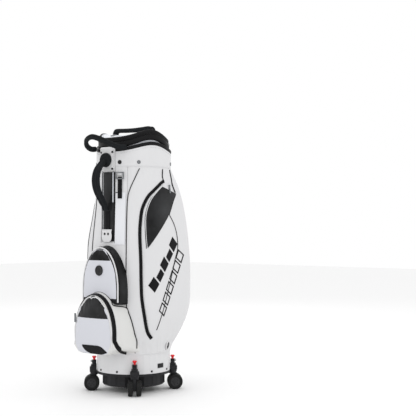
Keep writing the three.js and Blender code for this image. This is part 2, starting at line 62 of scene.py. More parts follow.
# %% [markdown]
# ## Where the bag stands
# Most measures below are in millimetres from the tube's own axis, because that is how a bag
# maker thinks: so far round from the front, so far up from the floor. The tube's axis is found
# from the frame, and one function turns such a place into metres in the shared frame.

# %% the tube's axis and the main heights
tube_low, tube_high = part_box("stiffener_tube")
AXIS_Y = (tube_low[1] + tube_high[1]) / 2
BODY_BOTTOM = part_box("front_panel")[0][2] / MM
BODY_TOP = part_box("front_panel")[1][2] / MM


def spot(x, y, z):
    """A place in millimetres from the tube's axis and the floor, turned into the frame."""
    return Vector((x * MM, y * MM + AXIS_Y, z * MM))


print("tube axis at y", round(AXIS_Y, 4), "body from", round(BODY_BOTTOM), "to", round(BODY_TOP))

# %% [markdown]
# ## Camera, light and floor
# A product picture: the camera looks at the front right corner from a little above the
# bag's middle, with a longish lens, and the bag stands left of centre. The floor is
# plain and pale. Two big soft lights from the front and one from behind keep the white
# leather bright while the black pieces still show long soft highlights.

# %% camera
VIEW_ANGLE = 43.5
CAMERA_DISTANCE = 3.3
CAMERA_HEIGHT = 0.56
FRAME_WIDTH = 1.44
AIM_SIDE = 0.257
AIM_HEIGHT = 0.623

turn = math.radians(VIEW_ANGLE)
towards_camera = Vector((math.sin(turn), -math.cos(turn), 0))
image_right = Vector((math.cos(turn), math.sin(turn), 0))
bag_foot = Vector((0, AXIS_Y, 0))
aim = bag_foot + image_right * AIM_SIDE + Vector((0, 0, AIM_HEIGHT))
camera_data = bpy.data.cameras.new("camera")
camera_data.lens = camera_data.sensor_width * CAMERA_DISTANCE / FRAME_WIDTH
camera = bpy.data.objects.new("camera", camera_data)
bpy.context.collection.objects.link(camera)
camera.location = bag_foot + towards_camera * CAMERA_DISTANCE + Vector((0, 0, CAMERA_HEIGHT))
camera.rotation_euler = (aim - camera.location).to_track_quat("-Z", "Y").to_euler()
bpy.context.scene.camera = camera
print("lens", round(camera_data.lens, 1), "mm")


# %% lights and world
def area_light(name, place, size, power, target=Vector((0, 0, 0.45))):
    data = bpy.data.lights.new(name, "AREA")
    data.shape = "RECTANGLE"
    data.size, data.size_y = size
    data.energy = power
    light = bpy.data.objects.new(name, data)
    bpy.context.collection.objects.link(light)
    light.location = place
    light.rotation_euler = (target - Vector(place)).to_track_quat("-Z", "Y").to_euler()
    return light


area_light("key", (2.6, -1.2, 2.3), (1.6, 2.2), 9)
area_light("fill", (-1.2, -2.9, 1.7), (1.8, 2.4), 5)
area_light("back", (-1.8, 2.4, 2.2), (1.6, 1.8), 8)
area_light("side", (2.4, 2.2, 1.4), (1.2, 2.0), 3)
area_light("top", (0, 0, 3.2), (2.4, 2.4), 5)
bpy.context.scene.view_settings.view_transform = "Standard"
world = bpy.data.worlds.new("studio")
bpy.context.scene.world = world
world.use_nodes = True
world.node_tree.nodes["Background"].inputs["Color"].default_value = (1, 1, 1, 1)
world.node_tree.nodes["Background"].inputs["Strength"].default_value = 1.0

# %% [markdown]
# ## Writing shaders as arithmetic
# A finish is easier to read as a formula than as a web of nodes. `Signal` wraps one socket,
# and every arithmetic sign on it adds one Math node. `Finish` owns a material: one method adds
# any other node, and one connects a varying signal to the shader. Numbers that are the
# same all over a surface go straight to the shader's own sockets.


# %% shader helpers
class Signal:
    """One socket that can be used in a Python formula."""

    def __init__(self, tree, socket):
        self.tree = tree
        self.socket = socket

    def math(self, operation, first, second=None):
        node = self.tree.nodes.new("ShaderNodeMath")
        node.operation = operation
        for slot_index, value in enumerate((first, second)):
            if isinstance(value, Signal):
                self.tree.links.new(value.socket, node.inputs[slot_index])
            elif value is not None:
                node.inputs[slot_index].default_value = value
        return Signal(self.tree, node.outputs[0])

    def __add__(self, other):
        return self.math("ADD", self, other)

    __radd__ = __add__

    def __sub__(self, other):
        return self.math("SUBTRACT", self, other)

    def __mul__(self, other):
        return self.math("MULTIPLY", self, other)

    def sine(self):
        return self.math("SINE", self)


class Finish:
    """One material, with a method for its nodes and one for its shader."""

    def __init__(self, name):
        self.material = bpy.data.materials.new(name)
        self.material.use_nodes = True
        self.tree = self.material.node_tree
        self.shader = self.tree.nodes["Principled BSDF"]

    def node(self, kind, settings=None, inputs=None, output=0):
        node = self.tree.nodes.new(kind)
        for key, value in (settings or {}).items():
            setattr(node, key, value)
        for key, value in (inputs or {}).items():
            if isinstance(value, Signal):
                self.tree.links.new(value.socket, node.inputs[key])
            else:
                node.inputs[key].default_value = value
        return Signal(self.tree, node.outputs[output])

    def place(self):
        return self.node("ShaderNodeNewGeometry")

    def noise(self, scale, detail=3, roughness=0.5):
        inputs = {"Vector": self.place(), "Scale": scale, "Detail": detail, "Roughness": roughness}
        return self.node("ShaderNodeTexNoise", None, inputs)

    def blend(self, factor, first, second):
        inputs = {0: factor, 6: (*first, 1), 7: (*second, 1)}
        return self.node("ShaderNodeMix", {"data_type": "RGBA"}, inputs, output=2)

    def bump(self, height, depth_mm, strength=1.0):
        inputs = {"Height": height, "Distance": depth_mm * MM, "Strength": strength}
        return self.node("ShaderNodeBump", None, inputs)

    def connect(self, **signals):
        names = {"color": "Base Color", "roughness": "Roughness", "normal": "Normal"}
        for key, value in signals.items():
            self.tree.links.new(value.socket, self.shader.inputs[names[key]])

    def fixed(self, **numbers):
        for key, value in numbers.items():
            self.shader.inputs[key.replace("_", " ").title().replace("Ior", "IOR")].default_value = value
        return self


print("shader helpers ready")

# %% [markdown]
# ## The finishes
# The bag is sewn from coated leather. White leather has a fine pebble grain and a faint
# unevenness of tone and sheen; the black patches are patent leather, almost a lacquer, whose
# slow ripples bend the highlights, and whose broad grey sheen is painted into its colour.
# Webbing is woven, mouldings have a fine spark-eroded grain, and tyres are dull. All of it is
# worked out from the place in space, so no piece needs to be unwrapped.

# %% coated leathers
def leather(name, tone, roughness, grain_mm=1.1, grain_depth=0.05, ripple=0.0, coat=0.0, stain_and_sheen=0.03,
            sheen_contrast=1.0):
    """Leather with pebble grain, uneven tone and, if asked, slow ripples under a lacquer and a painted sheen.
    """
    paint = Finish(name)
    cells = paint.node("ShaderNodeTexVoronoi", None, {"Vector": paint.place(), "Scale": 1 / (grain_mm * MM)})
    fine = paint.noise(2600, 2)
    slow = paint.noise(14, 3)
    broad = paint.noise(3.2, 2)
    height = cells * 0.6 + fine * 0.5
    if ripple:
        height = height + slow * ripple
    # With a large spread and contrast this tone blend paints sheen: broad lighter and darker swings that
    # stand in for reflections.
    low = tuple(channel * (1 - stain_and_sheen * 2) for channel in tone)
    paint.connect(
        color=paint.blend((broad * 0.6 + slow * 0.4 - 0.5) * sheen_contrast + 0.5, low, tone),
        roughness=roughness + (slow - 0.5) * 0.16 + (fine - 0.5) * 0.06,
        normal=paint.bump(height, grain_depth, 0.8),
    )
    sheen = 0.08 if max(tone) < 0.1 else 0.4
    return paint.fixed(coat_weight=coat, coat_roughness=0.1, specular_ior_level=sheen).material


WHITE = leather("white_coated_leather", (0.70, 0.70, 0.71), 0.46)
COOL_WHITE = leather("cool_white_leather", (0.64, 0.65, 0.70), 0.42)
WARM_WHITE = leather("gusset_leather", (0.70, 0.70, 0.685), 0.5)
PALE_GREY = leather("pale_grey_leather", (0.52, 0.53, 0.55), 0.5)
LILAC = leather("lilac_glove_leather", (0.46, 0.46, 0.52), 0.4)
# The patent's last two numbers paint a broad grey sheen into its colour, swinging it between near black and
# dark grey.
PATENT = leather("black_patent_leather", (0.035, 0.036, 0.038), 0.3, 1.6, 0.03, 5.0, 0.16, 0.48, 4.0)
BLACK = leather("black_trim_leather", (0.013, 0.013, 0.014), 0.42, 1.0, 0.06, 0.0, 0.0, 0.2)
PRINT = leather("black_print_ink", (0.008, 0.008, 0.009), 0.38, 1.1, 0.03, 0.0, 0.0, 0.1)
SHELL = leather("hood_shell_skin", (0.68, 0.70, 0.75), 0.4, 0.9, 0.03)
print("leathers:", len(bpy.data.materials))


# %% webbing, mouldings, metal and rubber
def webbing(name, tone, rib_mm=1.5):
    """Crossed ribs of yarn, with a little fuzz."""
    paint = Finish(name)
    split = paint.node("ShaderNodeSeparateXYZ", None, {0: paint.place()})
    across = Signal(paint.tree, split.socket.node.outputs[0]) + Signal(paint.tree,
                                                                       split.socket.node.outputs[1])
    up = Signal(paint.tree, split.socket.node.outputs[2])
    pitch = 2 * math.pi / (rib_mm * MM)
    weave = ((across + up) * pitch).sine() * ((across - up) * pitch).sine()
    fuzz = paint.noise(1800, 3)
    paint.connect(
        color=paint.blend(weave * 0.3 + fuzz * 0.6, tuple(c * 0.5 for c in tone),
                          tuple(c * 1.7 for c in tone)),
        roughness=0.82 + (fuzz - 0.5) * 0.15,
        normal=paint.bump(weave + fuzz * 0.6, 0.16),
    )
    return paint.fixed(specular_ior_level=0.1).material


def moulding(name, tone, roughness, grain_depth=0.03, coat=0.0, metallic=0.0):
    """Moulded or cast surface: fine even grain, slightly polished where it is handled."""
    paint = Finish(name)
    grain = paint.noise(1500, 3)
    wear = paint.noise(22, 4)
    paint.connect(
        color=paint.blend(wear, tuple(c * 0.8 for c in tone), tuple(min(1, c * 1.2) for c in tone)),
        roughness=roughness + (wear - 0.5) * 0.18,
        normal=paint.bump(grain, grain_depth),
    )
    sheen = 0.2 if max(tone) < 0.1 else 0.5
    return paint.fixed(coat_weight=coat, metallic=metallic, specular_ior_level=sheen).material


WEBBING = webbing("black_webbing", (0.013, 0.013, 0.014))
PAD_CLOTH = webbing("handle_mesh_cloth", (0.016, 0.018, 0.02), 2.4)
FOAM = webbing("divider_cloth", (0.05, 0.05, 0.055), 0.9)
PLASTIC = moulding("black_moulding", (0.016, 0.016, 0.018), 0.42)
GLOSS_PLASTIC = moulding("black_gloss_moulding", (0.01, 0.01, 0.011), 0.22, 0.01, 0.15)
TYRE = moulding("tyre_rubber", (0.01, 0.01, 0.01), 0.6, 0.05)
HUB = moulding("hub_moulding", (0.03, 0.03, 0.032), 0.3, 0.01)
RED = moulding("red_button_plastic", (0.75, 0.006, 0.012), 0.32, 0.01, 0.25)
METAL = moulding("gunmetal", (0.20, 0.21, 0.22), 0.3, 0.01, 0.0, 1.0)
BRIGHT = moulding("bright_metal", (0.62, 0.63, 0.66), 0.22, 0.005, 0.0, 1.0)
THREAD_WHITE = moulding("white_thread", (0.72, 0.72, 0.74), 0.7, 0.02)
THREAD_BLACK = moulding("black_thread", (0.02, 0.02, 0.02), 0.7, 0.02)
FLOOR = bpy.data.materials.new("studio_floor")
FLOOR.use_nodes = True
floor_shader = FLOOR.node_tree.nodes["Principled BSDF"]
floor_shader.inputs["Base Color"].default_value = (0.93, 0.93, 0.93, 1)
floor_shader.inputs["Roughness"].default_value = 0.9
floor_shader.inputs["Specular IOR Level"].default_value = 0.1

# %% floor
floor_mesh = bpy.data.meshes.new("floor")
reach = 9
floor_mesh.from_pydata([(-reach, -reach, 0), (reach, -reach, 0), (reach, reach, 0), (-reach, reach, 0)],
                       [], [(0, 1, 2, 3)])
floor = bpy.data.objects.new("floor", floor_mesh)
bpy.context.collection.objects.link(floor)
floor_mesh.materials.append(FLOOR)
print("materials:", len(bpy.data.materials))

# %% [markdown]
# ## A few ways to make a mesh
# Nearly every soft piece here is one of four things: a *shell* (a grid of points with an inner
# face behind it, closed round its edge), a *bar* (a section carried along a path), a
# *turned* piece (a profile spun round an axis), or a *ribbon* that follows the bag's skin.
# Four small builders make them all, and each piece is given its finish and the body it
# rides on in one call.

# %% mesh builders
def add_piece(name, points, faces, material, slot, body="bag", smooth=40, replaces=()):
    """A new mesh object (points in metres), finished, riding on its body."""
    mesh = bpy.data.meshes.new(name)
    mesh.from_pydata([tuple(point) for point in points], [], faces)
    mesh.materials.append(material)
    piece = bpy.data.objects.new(name, mesh)
    bpy.context.collection.objects.link(piece)
    bm = bmesh.new()
    bm.from_mesh(mesh)
    bmesh.ops.recalc_face_normals(bm, faces=bm.faces)
    limit = math.radians(smooth)
    for face in bm.faces:
        face.smooth = True
    for edge in bm.edges:
        if len(edge.link_faces) == 2 and edge.calc_face_angle(0) > limit:
            edge.smooth = False
    bm.to_mesh(mesh)
    bm.free()
    if body:
        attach(piece, body)
    if replaces:
        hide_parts(*replaces)
    return piece


def grid_faces(rows, columns, closed_columns=False):
    """Quads over a grid of points stored row by row."""
    faces = []
    span = columns if closed_columns else columns - 1
    for row in range(rows - 1):
        for column in range(span):
            nxt = (column + 1) % columns
            base = row * columns
            faces.append((base + column, base + nxt, base + columns + nxt, base + columns + column))
    return faces


def shell_mesh(outer, inner):
    """Closes two grids of the same size (lists of rows) into one thin solid."""
    rows, columns = len(outer), len(outer[0])
    points = [p for row in outer for p in row] + [p for row in inner for p in row]
    front = grid_faces(rows, columns)
    offset = rows * columns
    back = [tuple(offset + i for i in reversed(face)) for face in front]
    rim = [c for c in range(columns)]
    rim += [r * columns + columns - 1 for r in range(1, rows)]
    rim += [(rows - 1) * columns + c for c in range(columns - 2, -1, -1)]
    rim += [r * columns for r in range(rows - 2, 0, -1)]
    sides = []
    for i, a in enumerate(rim):
        b = rim[(i + 1) % len(rim)]
        sides.append((a, offset + a, offset + b, b))
    return points, front + back + sides


def bar_mesh(path, section, closed=False, side=None):
    """Carries a section (list of (across, out) in metres) along a path of Vectors.

    side(i) gives the direction of the section's first axis at each point of the path."""
    count = len(path)
    size = len(section)
    points = []
    for i in range(count):
        before = path[(i - 1) % count] if closed or i > 0 else path[i]
        after = path[(i + 1) % count] if closed or i < count - 1 else path[i]
        along = (after - before).normalized()
        across = side(i)
        out = along.cross(across).normalized()
        across = out.cross(along).normalized()
        points += [path[i] + across * a + out * b for a, b in section]
    faces = grid_faces(count, size, closed_columns=True)
    if closed:
        last = (count - 1) * size
        for c in range(size):
            nxt = (c + 1) % size
            faces.append((last + c, last + nxt, nxt, c))
    else:
        faces.append(tuple(range(size - 1, -1, -1)))
        faces.append(tuple(range((count - 1) * size, count * size)))
    return points, faces


def oval(width, height, sides=12, squareness=2.0, lift=0.0):
    """A rounded section, width and height in millimetres."""
    section = []
    for i in range(sides):
        a = 2 * math.pi * i / sides
        c, s = math.cos(a), math.sin(a)
        x = math.copysign(abs(c) ** (2 / squareness), c) * width / 2
        y = math.copysign(abs(s) ** (2 / squareness), s) * height / 2 + lift
        section.append((x * MM, y * MM))
    return section


def turned_mesh(profile, centre, axis=Vector((0, 0, 1)), sides=32):
    """Spins [radius, height] pairs (millimetres) round an axis; ends on the axis are closed."""
    axis = axis.normalized()
    helper = Vector((0, 0, 1)) if abs(axis.z) < 0.9 else Vector((1, 0, 0))
    u = axis.cross(helper).normalized()
    v = axis.cross(u).normalized()
    points = []
    for radius, height in profile:
        for i in range(sides):
            a = 2 * math.pi * i / sides
            points.append(centre + axis * height * MM + (u * math.cos(a) + v * math.sin(a)) * radius * MM)
    faces = grid_faces(len(profile), sides, closed_columns=True)
    faces.append(tuple(range(sides - 1, -1, -1)))
    faces.append(tuple(range((len(profile) - 1) * sides, len(profile) * sides)))
    return points, faces


def joined(*parts):
    """Puts several (points, faces) together as one mesh."""
    points, faces = [], []
    for part_points, part_faces in parts:
        base = len(points)
        points += part_points
        faces += [tuple(base + i for i in face) for face in part_faces]
    return points, faces


def smooth_curve(knots, steps):
    """Catmull-Rom points through knots of any size, evenly stepped by index."""
    padded = [knots[0], *knots, knots[-1]]
    points = []
    for i in range(len(knots) - 1):
        a, b, c, d = padded[i:i + 4]
        for step in range(steps):
            t = step / steps
            point = []
            for p, q, r, s in zip(a, b, c, d):
                linear = (r - p) * t
                square = (2 * p - 5 * q + 4 * r - s) * t * t
                cube = (3 * q - p - 3 * r + s) * t ** 3
                point.append(0.5 * (2 * q + linear + square + cube))
            points.append(tuple(point))
    points.append(tuple(knots[-1]))
    return points


def evenly(points, gap):
    """Re-spaces a path of Vectors so that its points are about gap metres apart."""
    lengths = [0.0]
    for a, b in zip(points, points[1:]):
        lengths.append(lengths[-1] + (b - a).length)
    count = max(2, round(lengths[-1] / gap) + 1)
    result, i = [], 0
    for k in range(count):
        target = lengths[-1] * k / (count - 1)
        while i < len(points) - 2 and lengths[i + 1] < target:
            i += 1
        span = lengths[i + 1] - lengths[i] or 1
        result.append(points[i].lerp(points[i + 1], (target - lengths[i]) / span))
    return result


print("builders ready")

# %% [markdown]
# ## The bag's skin
# In plan the bag is a round tube with full pockets: nearly flat at the back and sides with
# round corners, and close to the tube in front. From the cuff the pockets swell quickly to
# their widest at knee height, then thin out towards the collar. A rounded box formula
# (a superellipse) gives the plan, and a curve of "fullness" against height gives the swelling.
# Every seam, zip and patch is then drawn on this one skin by its angle and height.

# %% skin formula
NECK = 127.0
SIDE_REACH, BACK_REACH, FRONT_REACH = 152.0, 172.0, 128.0
BELLY = [
    (137, 0), (157, 0.12), (194, 0.45), (244, 0.79), (285, 0.95), (333, 1), (421, 1),
    (490, 0.94), (565, 0.87), (634, 0.73), (668, 0.6), (701, 0.43), (730, 0.22), (757, 0),
]
FRONT_FADE = (480, 690)


def smoothstep(low, high, value):
    t = min(1, max(0, (value - low) / (high - low)))
    return t * t * (3 - 2 * t)


def fullness(z):
    """Smooth share of the pockets' fullness at a height."""
    z = min(BELLY[-1][0], max(BELLY[0][0], z))
    i = 1
    while i < len(BELLY) - 1 and z > BELLY[i][0]:
        i += 1
    (z0, f0), (z1, f1) = BELLY[i - 1], BELLY[i]
    before = BELLY[max(0, i - 2)]
    after = BELLY[min(len(BELLY) - 1, i + 1)]
    slope0 = (f1 - before[1]) / (z1 - before[0]) * (z1 - z0)
    slope1 = (after[1] - f0) / (after[0] - z0) * (z1 - z0)
    t = (z - z0) / (z1 - z0)
    a = (2 * t ** 3 - 3 * t ** 2 + 1) * f0 + (t ** 3 - 2 * t ** 2 + t) * slope0
    b = (3 * t ** 2 - 2 * t ** 3) * f1 + (t ** 3 - t ** 2) * slope1
    return min(1.0, max(0.0, a + b))


def skin_radius(angle, z):
    """Distance from the axis to the skin, angle in degrees from the front towards +X."""
    a = math.radians(angle)
    forward = math.cos(a)
    reach, power = (FRONT_REACH, 3) if forward > 0 else (BACK_REACH, 4.5)
    widest = (abs(math.sin(a) / SIDE_REACH) ** power + abs(forward / reach) ** power) ** (-1 / power)
    fade = 1 - smoothstep(*FRONT_FADE, z)
    front_share = (1 + forward) / 2
    return NECK + (widest - NECK) * fullness(z) * (1 + (fade - 1) * front_share)


def seam_list():
    """Where the leather is sewn down, as (angle, lowest, highest)."""
    return [(34, 137, 757), (-34, 137, 757), (150, 137, 757), (-150, 137, 757)]


def puff(angle, z):
    """How far the leather stands off or dips, in millimetres: seams pull in, cloth swells."""
    radius = skin_radius(angle, z)
    dip = 0.0
    for seam, low, high in seam_list():
        away = abs((angle - seam + 180) % 360 - 180) * math.pi / 180 * radius
        dip -= 1.5 * math.exp(-(away / 7) ** 2)
    a = math.radians(angle)
    spot_on_bag = Vector((math.sin(a) * 2.2, math.cos(a) * 2.2, z / 95))
    slow = noise.noise(spot_on_bag) * 1.3 * fullness(z)
    folds = noise.noise(Vector((math.sin(a) * 9, math.cos(a) * 9, z / 130 + 7)))
    near_ends = math.exp(-((z - 160) / 26) ** 2) + 0.6 * math.exp(-((z - 738) / 16) ** 2)
    return dip + slow - abs(folds) * 4.0 * near_ends


def skin(angle, z, proud=0.0):
    """A point on the bag's skin, proud millimetres outside it."""
    radius = skin_radius(angle, z) + puff(angle, z) + proud
    a = math.radians(angle)
    return spot(radius * math.sin(a), -radius * math.cos(a), z)


def outward(angle, z):
    """Direction that points out of the skin."""
    east = skin(angle + 1.2, z) - skin(angle - 1.2, z)
    up = skin(angle, z + 3) - skin(angle, z - 3)
    return east.cross(up).normalized()


print("belly radius at the back corner:", round(skin_radius(135, 380)))

# %% [markdown]
# ## The four leather panels
# The front panel, the two apparel pockets and the back pocket meet at four upright seams. Each
# is made as a closed shell a few millimetres thick whose skin dips at its seams, swells
# between them, and puckers where it is gathered onto the cuff and the collar. The packed
# solids go right in to the tube, so the shells stay inside the space they hold.

# %% panels
TUBE_FACE = 121.9
CHANNEL_HALF, CHANNEL_LOW, CHANNEL_HIGH, CHANNEL_BACK = 14.4, 508, 742, 122.6


def cylinder_skin(radius):
    """A surface function for a plain round band."""
    def surface(angle, z, proud=0.0):
        a = math.radians(angle)
        return spot((radius + proud) * math.sin(a), -(radius + proud) * math.cos(a), z)
    return surface


def body_panel(name, start, end, node, material=WHITE, columns=40, rows=124):
    """One sewn panel between two angles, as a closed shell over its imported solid."""
    outer, inner = [], []
    for r in range(rows):
        z = BODY_BOTTOM + (BODY_TOP - BODY_BOTTOM) * r / (rows - 1)
        out_row, in_row = [], []
        for c in range(columns):
            angle = start + (end - start) * c / (columns - 1)
            recessed = abs(angle) < CHANNEL_HALF and CHANNEL_LOW < z < CHANNEL_HIGH
            out_row.append(cylinder_skin(CHANNEL_BACK)(angle, z) if recessed else skin(angle, z))
            a = math.radians(angle)
            back = max(TUBE_FACE, skin_radius(angle, z) - 9)
            in_row.append(spot(back * math.sin(a), -back * math.cos(a), z))
        outer.append(out_row)
        inner.append(in_row)
    points, faces = shell_mesh(outer, inner)
    piece = add_piece(name, points, faces, material, "white_leather", replaces=(node,))
    return piece


SEAM_HALF = 0.16
body_panel("front_leather", -34 + SEAM_HALF, 34 - SEAM_HALF, "front_panel", columns=72)
body_panel("apparel_pocket_right", 34 + SEAM_HALF, 150 - SEAM_HALF, "side_pocket_right", columns=84)
body_panel("apparel_pocket_left", -150 + SEAM_HALF, -34 - SEAM_HALF, "side_pocket_left", columns=84)
body_panel("back_pocket_leather", 150 + SEAM_HALF, 210 - SEAM_HALF, "back_pocket", columns=46)
print("panels done")

# %% [markdown]
# ## Drawing on the skin
# Zips, piping and patches are all drawn the same way: a few knots (angle and height) are
# joined by a smooth curve, and a section is carried along it, lying on the skin. A patch is
# the area between a left and a right edge. Both take the skin as a function, so the same
# tools also work on the ball pocket later, which has a skin of its own.

# %% ribbons and patches
def flat_section(width, height, crown=0.3):
    """A low strip with rounded shoulders; its underside sits a little below the skin."""
    half = width / 2
    lift = height * (1 - crown)
    shape = [(-half, -0.6), (-half, lift * 0.6), (-half * 0.8, lift), (0, height), (half * 0.8, lift),
             (half, lift * 0.6), (half, -0.6)]
    return [(a * MM, b * MM) for a, b in shape]


def ribbon(name, knots, section, material, slot, surface=skin, normal=outward, steps=14, gap=5,
           closed=False, body="bag"):
    """A strip, cord or zip tape that follows a surface through (angle, height) knots."""
    places = smooth_curve(knots, steps)
    path = [surface(*place) for place in places]
    spaced = evenly(path, gap * MM)
    share = [i / (len(spaced) - 1) for i in range(len(spaced))]
    where = [along_places(path, places, t) for t in share]
    path = [surface(*place) for place in where]
    normals = [normal(*place) for place in where]

    def across(i):
        a = path[min(i + 1, len(path) - 1)] - path[max(i - 1, 0)]
        return normals[i].cross(a).normalized()

    points, faces = bar_mesh(path, section, closed, across)
    return add_piece(name, points, faces, material, slot, body)


def along_places(path, places, share):
    """The (angle, height) place that lies at a share of a path's length."""
    lengths = [0.0]
    for a, b in zip(path, path[1:]):
        lengths.append(lengths[-1] + (b - a).length)
    target = share * lengths[-1]
    for i in range(len(path) - 1):
        if lengths[i + 1] >= target:
            span = lengths[i + 1] - lengths[i] or 1
            t = (target - lengths[i]) / span
            return tuple(p + (q - p) * t for p, q in zip(places[i], places[i + 1]))
    return places[-1]


def cord_section(width, lift=0.0):
    """Round piping, half sunk in its seam."""
    return oval(width, width, 8, lift=lift)


def piping(name, knots, width=3.2, material=BLACK, slot="black_leather", **options):
    return ribbon(name, knots, cord_section(width, width * 0.28), material, slot, **options)


def patch(name, edges, proud, material, slot, surface=skin, columns=14, rows=26, hem=1.0, body="bag"):
    """A sewn-on patch between a left and a right edge.

    edges is a list of (left place, right place) pairs from bottom to top, each (angle, height)."""
    lefts = smooth_curve([left for left, right in edges], max(2, rows // (len(edges) - 1)))
    rights = smooth_curve([right for left, right in edges], max(2, rows // (len(edges) - 1)))
    outer, inner = [], []
    last = len(lefts) - 1
    for r, (left, right) in enumerate(zip(lefts, rights)):
        out_row, in_row = [], []
        for c in range(columns + 1):
            t = c / columns
            place = tuple(p + (q - p) * t for p, q in zip(left, right))
            edge = min(c, columns - c, r, last - r)
            lift = proud * (0.35 if edge == 0 else 1.0)
            out_row.append(surface(*place, lift))
            in_row.append(surface(*place, -hem))
        outer.append(out_row)
        inner.append(in_row)
    points, faces = shell_mesh(outer, inner)
    return add_piece(name, points, faces, material, slot, body)


def mirror(knots):
    """The same places on the other side of the bag."""
    return [(-angle, z) for angle, z in knots]


def stitches(name, knots, material=THREAD_BLACK, slot="black_leather", pitch=4.2, length=2.6, width=0.7,
             proud=0.25, surface=skin, normal=outward, body="bag", steps=14):
    """A row of small raised stitches along a path on a surface."""
    places = smooth_curve(knots, steps)
    path = evenly([surface(*place) for place in places], pitch * MM)
    raw = [surface(*place) for place in places]
    parts = []
    count = len(path)
    for i in range(count):
        where = along_places(raw, places, i / (count - 1))
        out = normal(*where)
        ahead = path[min(i + 1, count - 1)] - path[max(i - 1, 0)]
        along = ahead.normalized() * (length / 2 * MM)
        across = out.cross(ahead).normalized() * (width / 2 * MM)
        lift = out * (proud * MM)
        middle = path[i]
        points = [middle - along, middle + across * 0.9 + lift * 0.5, middle + along,
                  middle - across * 0.9 + lift * 0.5, middle + lift * 2.2]
        faces = [(0, 1, 4), (1, 2, 4), (2, 3, 4), (3, 0, 4), (3, 2, 1, 0)]
        parts.append((points, faces))
    points, faces = joined(*parts)
    return add_piece(name, points, faces, material, slot, body, smooth=80)


print("ribbon, patch and stitch tools ready")

# %% [markdown]
# ## Base cuff and collar
# The cuff is a white leather band riveted round the foot of the tube, and the collar is the
# same round its mouth. Both packed rings have the right shape, so they only get a finish;
# the rows of stitching, the rivets and the snap fasteners are added as real pieces.

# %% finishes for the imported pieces
def finish_nodes(material, *names):
    for name in names:
        node = bpy.data.objects[name]
        node.data.materials.clear()
        node.data.materials.append(material)


NUMBERS = (1, 2, 3, 4)
finish_nodes(WHITE, "base_cuff", "handle_plate", "handle_lower_tab")
finish_nodes(SHELL, "hood_tube")
finish_nodes(PLASTIC, "base_tray", "stiffener_tube", "hood_guide_ring", "hood_stop_ring")
finish_nodes(PATENT, "handle_channel")
finish_nodes(BLACK, "collar_trim", "hood_trim", "lid_skirt")
finish_nodes(WEBBING, "handle_strap", "umbrella_strap", "divider_head")
finish_nodes(FOAM, "floor_pad", "divider_walls")
finish_nodes(METAL, "umbrella_ring")
for number in NUMBERS:
    finish_nodes(PLASTIC, f"caster_housing_{number}", f"caster_swivel_{number}")
    finish_nodes(RED, f"caster_button_{number}")


# %% round the cuff and the collar
def radial(angle, z):
    a = math.radians(angle)
    return Vector((math.sin(a), -math.cos(a), 0))


CREST_ANGLE, CREST_WIDTH = 74, 33


def climb(angle):
    """Share of the rim's rise at an angle: 1 at the crests beside the bag."""
    away = abs((angle + 180) % 360 - 180) - CREST_ANGLE
    return math.exp(-(away / CREST_WIDTH) ** 2)


cuff = cylinder_skin(125.1)
full_turn = range(-180, 181, 10)
for row, z in enumerate((80.5, 88, 126, 131.5)):
    stitches(f"cuff_stitching_{row}", [(a, z) for a in full_turn], THREAD_WHITE, "white_leather",
             surface=cuff, normal=radial, steps=6)
ribbon("cuff_binding", [(a, 135.2) for a in full_turn], flat_section(4, 1.6), WHITE, "white_leather",
       surface=cuff, normal=radial, steps=6, closed=False)


RIM_RISE = 23
COLLAR_BOTTOM = 758.8


def rim_height(angle, above=0.0):
    return 808 + RIM_RISE * climb(angle) + above


def collar_piece():
    """The soft collar: a band that swells a little between its two seams."""
    outer, inner = [], []
    rows, columns = 18, 145
    for r in range(rows):
        t = r / (rows - 1)
        out_row, in_row = [], []
        for c in range(columns):
            angle = -180 + 360 * c / (columns - 1)
            z = COLLAR_BOTTOM + (rim_height(angle, -0.4) - COLLAR_BOTTOM) * t
            a = math.radians(angle)
            wave = noise.noise(Vector((math.sin(a) * 2, math.cos(a) * 2, t * 1.5)))
            swell = 0.5 * math.sin(math.pi * t) + 0.5 * wave - 1.0 * (t < 0.03)
            out_row.append(spot((127.3 + swell) * math.sin(a), -(127.3 + swell) * math.cos(a), z))
            in_row.append(spot(121.9 * math.sin(a), -121.9 * math.cos(a), z))
        outer.append(out_row)
        inner.append(in_row)
    points, faces = shell_mesh(outer, inner)
    piece = add_piece("collar_leather", points, faces, WHITE, "white_leather", replaces=("collar_shell",))


collar_piece()
collar = cylinder_skin(127.8)
stitches("collar_stitching", [(a, rim_height(a, -7)) for a in full_turn], THREAD_BLACK,
         surface=collar, normal=radial, steps=8, pitch=3.6, length=2.0, width=0.5)
ribbon("collar_seam", [(a, 757.8) for a in full_turn], cord_section(2.4), WHITE, "white_leather",
       surface=cylinder_skin(127), normal=radial, steps=6)


# %% trim round the mouth
def wave_trim(name, low_profile, rise, material, slot, body, node, columns=180, steps=4):
    """A rounded ring that follows the rim's wave. low_profile is [radius, height] pairs."""
    points, size = [], len(low_profile)
    for c in range(columns):
        angle = 360 * c / columns
        a = math.radians(angle)
        for radius, height in low_profile:
            points.append(spot(radius * math.sin(a), -radius * math.cos(a), height + rise * climb(angle)))
    faces = []
    for c in range(columns):
        nxt = (c + 1) % columns
        for s in range(size):
            t = (s + 1) % size
            faces.append((c * size + s, nxt * size + s, nxt * size + t, c * size + t))
    return add_piece(name, points, faces, material, slot, body, replaces=(node,) if node else ())


def rounded_ring(inner, outer, bottom, top, corner=2.5):
    """Profile of a ring with softly rounded outer corners."""
    profile = [(inner, bottom), (outer - corner, bottom)]
    for i in range(4):
        a = math.radians(-90 + 30 * i)
        profile.append((outer - corner + corner * math.cos(a), bottom + corner + corner * math.sin(a)))
    for i in range(5):
        a = math.radians(22.5 * i)
        profile.append((outer - corner + corner * math.cos(a), top - corner + corner * math.sin(a)))
    profile.append((inner, top))
    return profile


trim_profile = rounded_ring(121.5, 129, 808, 820, 3.5)
wave_trim("collar_rim_binding", trim_profile, RIM_RISE, BLACK, "black_leather", "bag", "collar_trim")


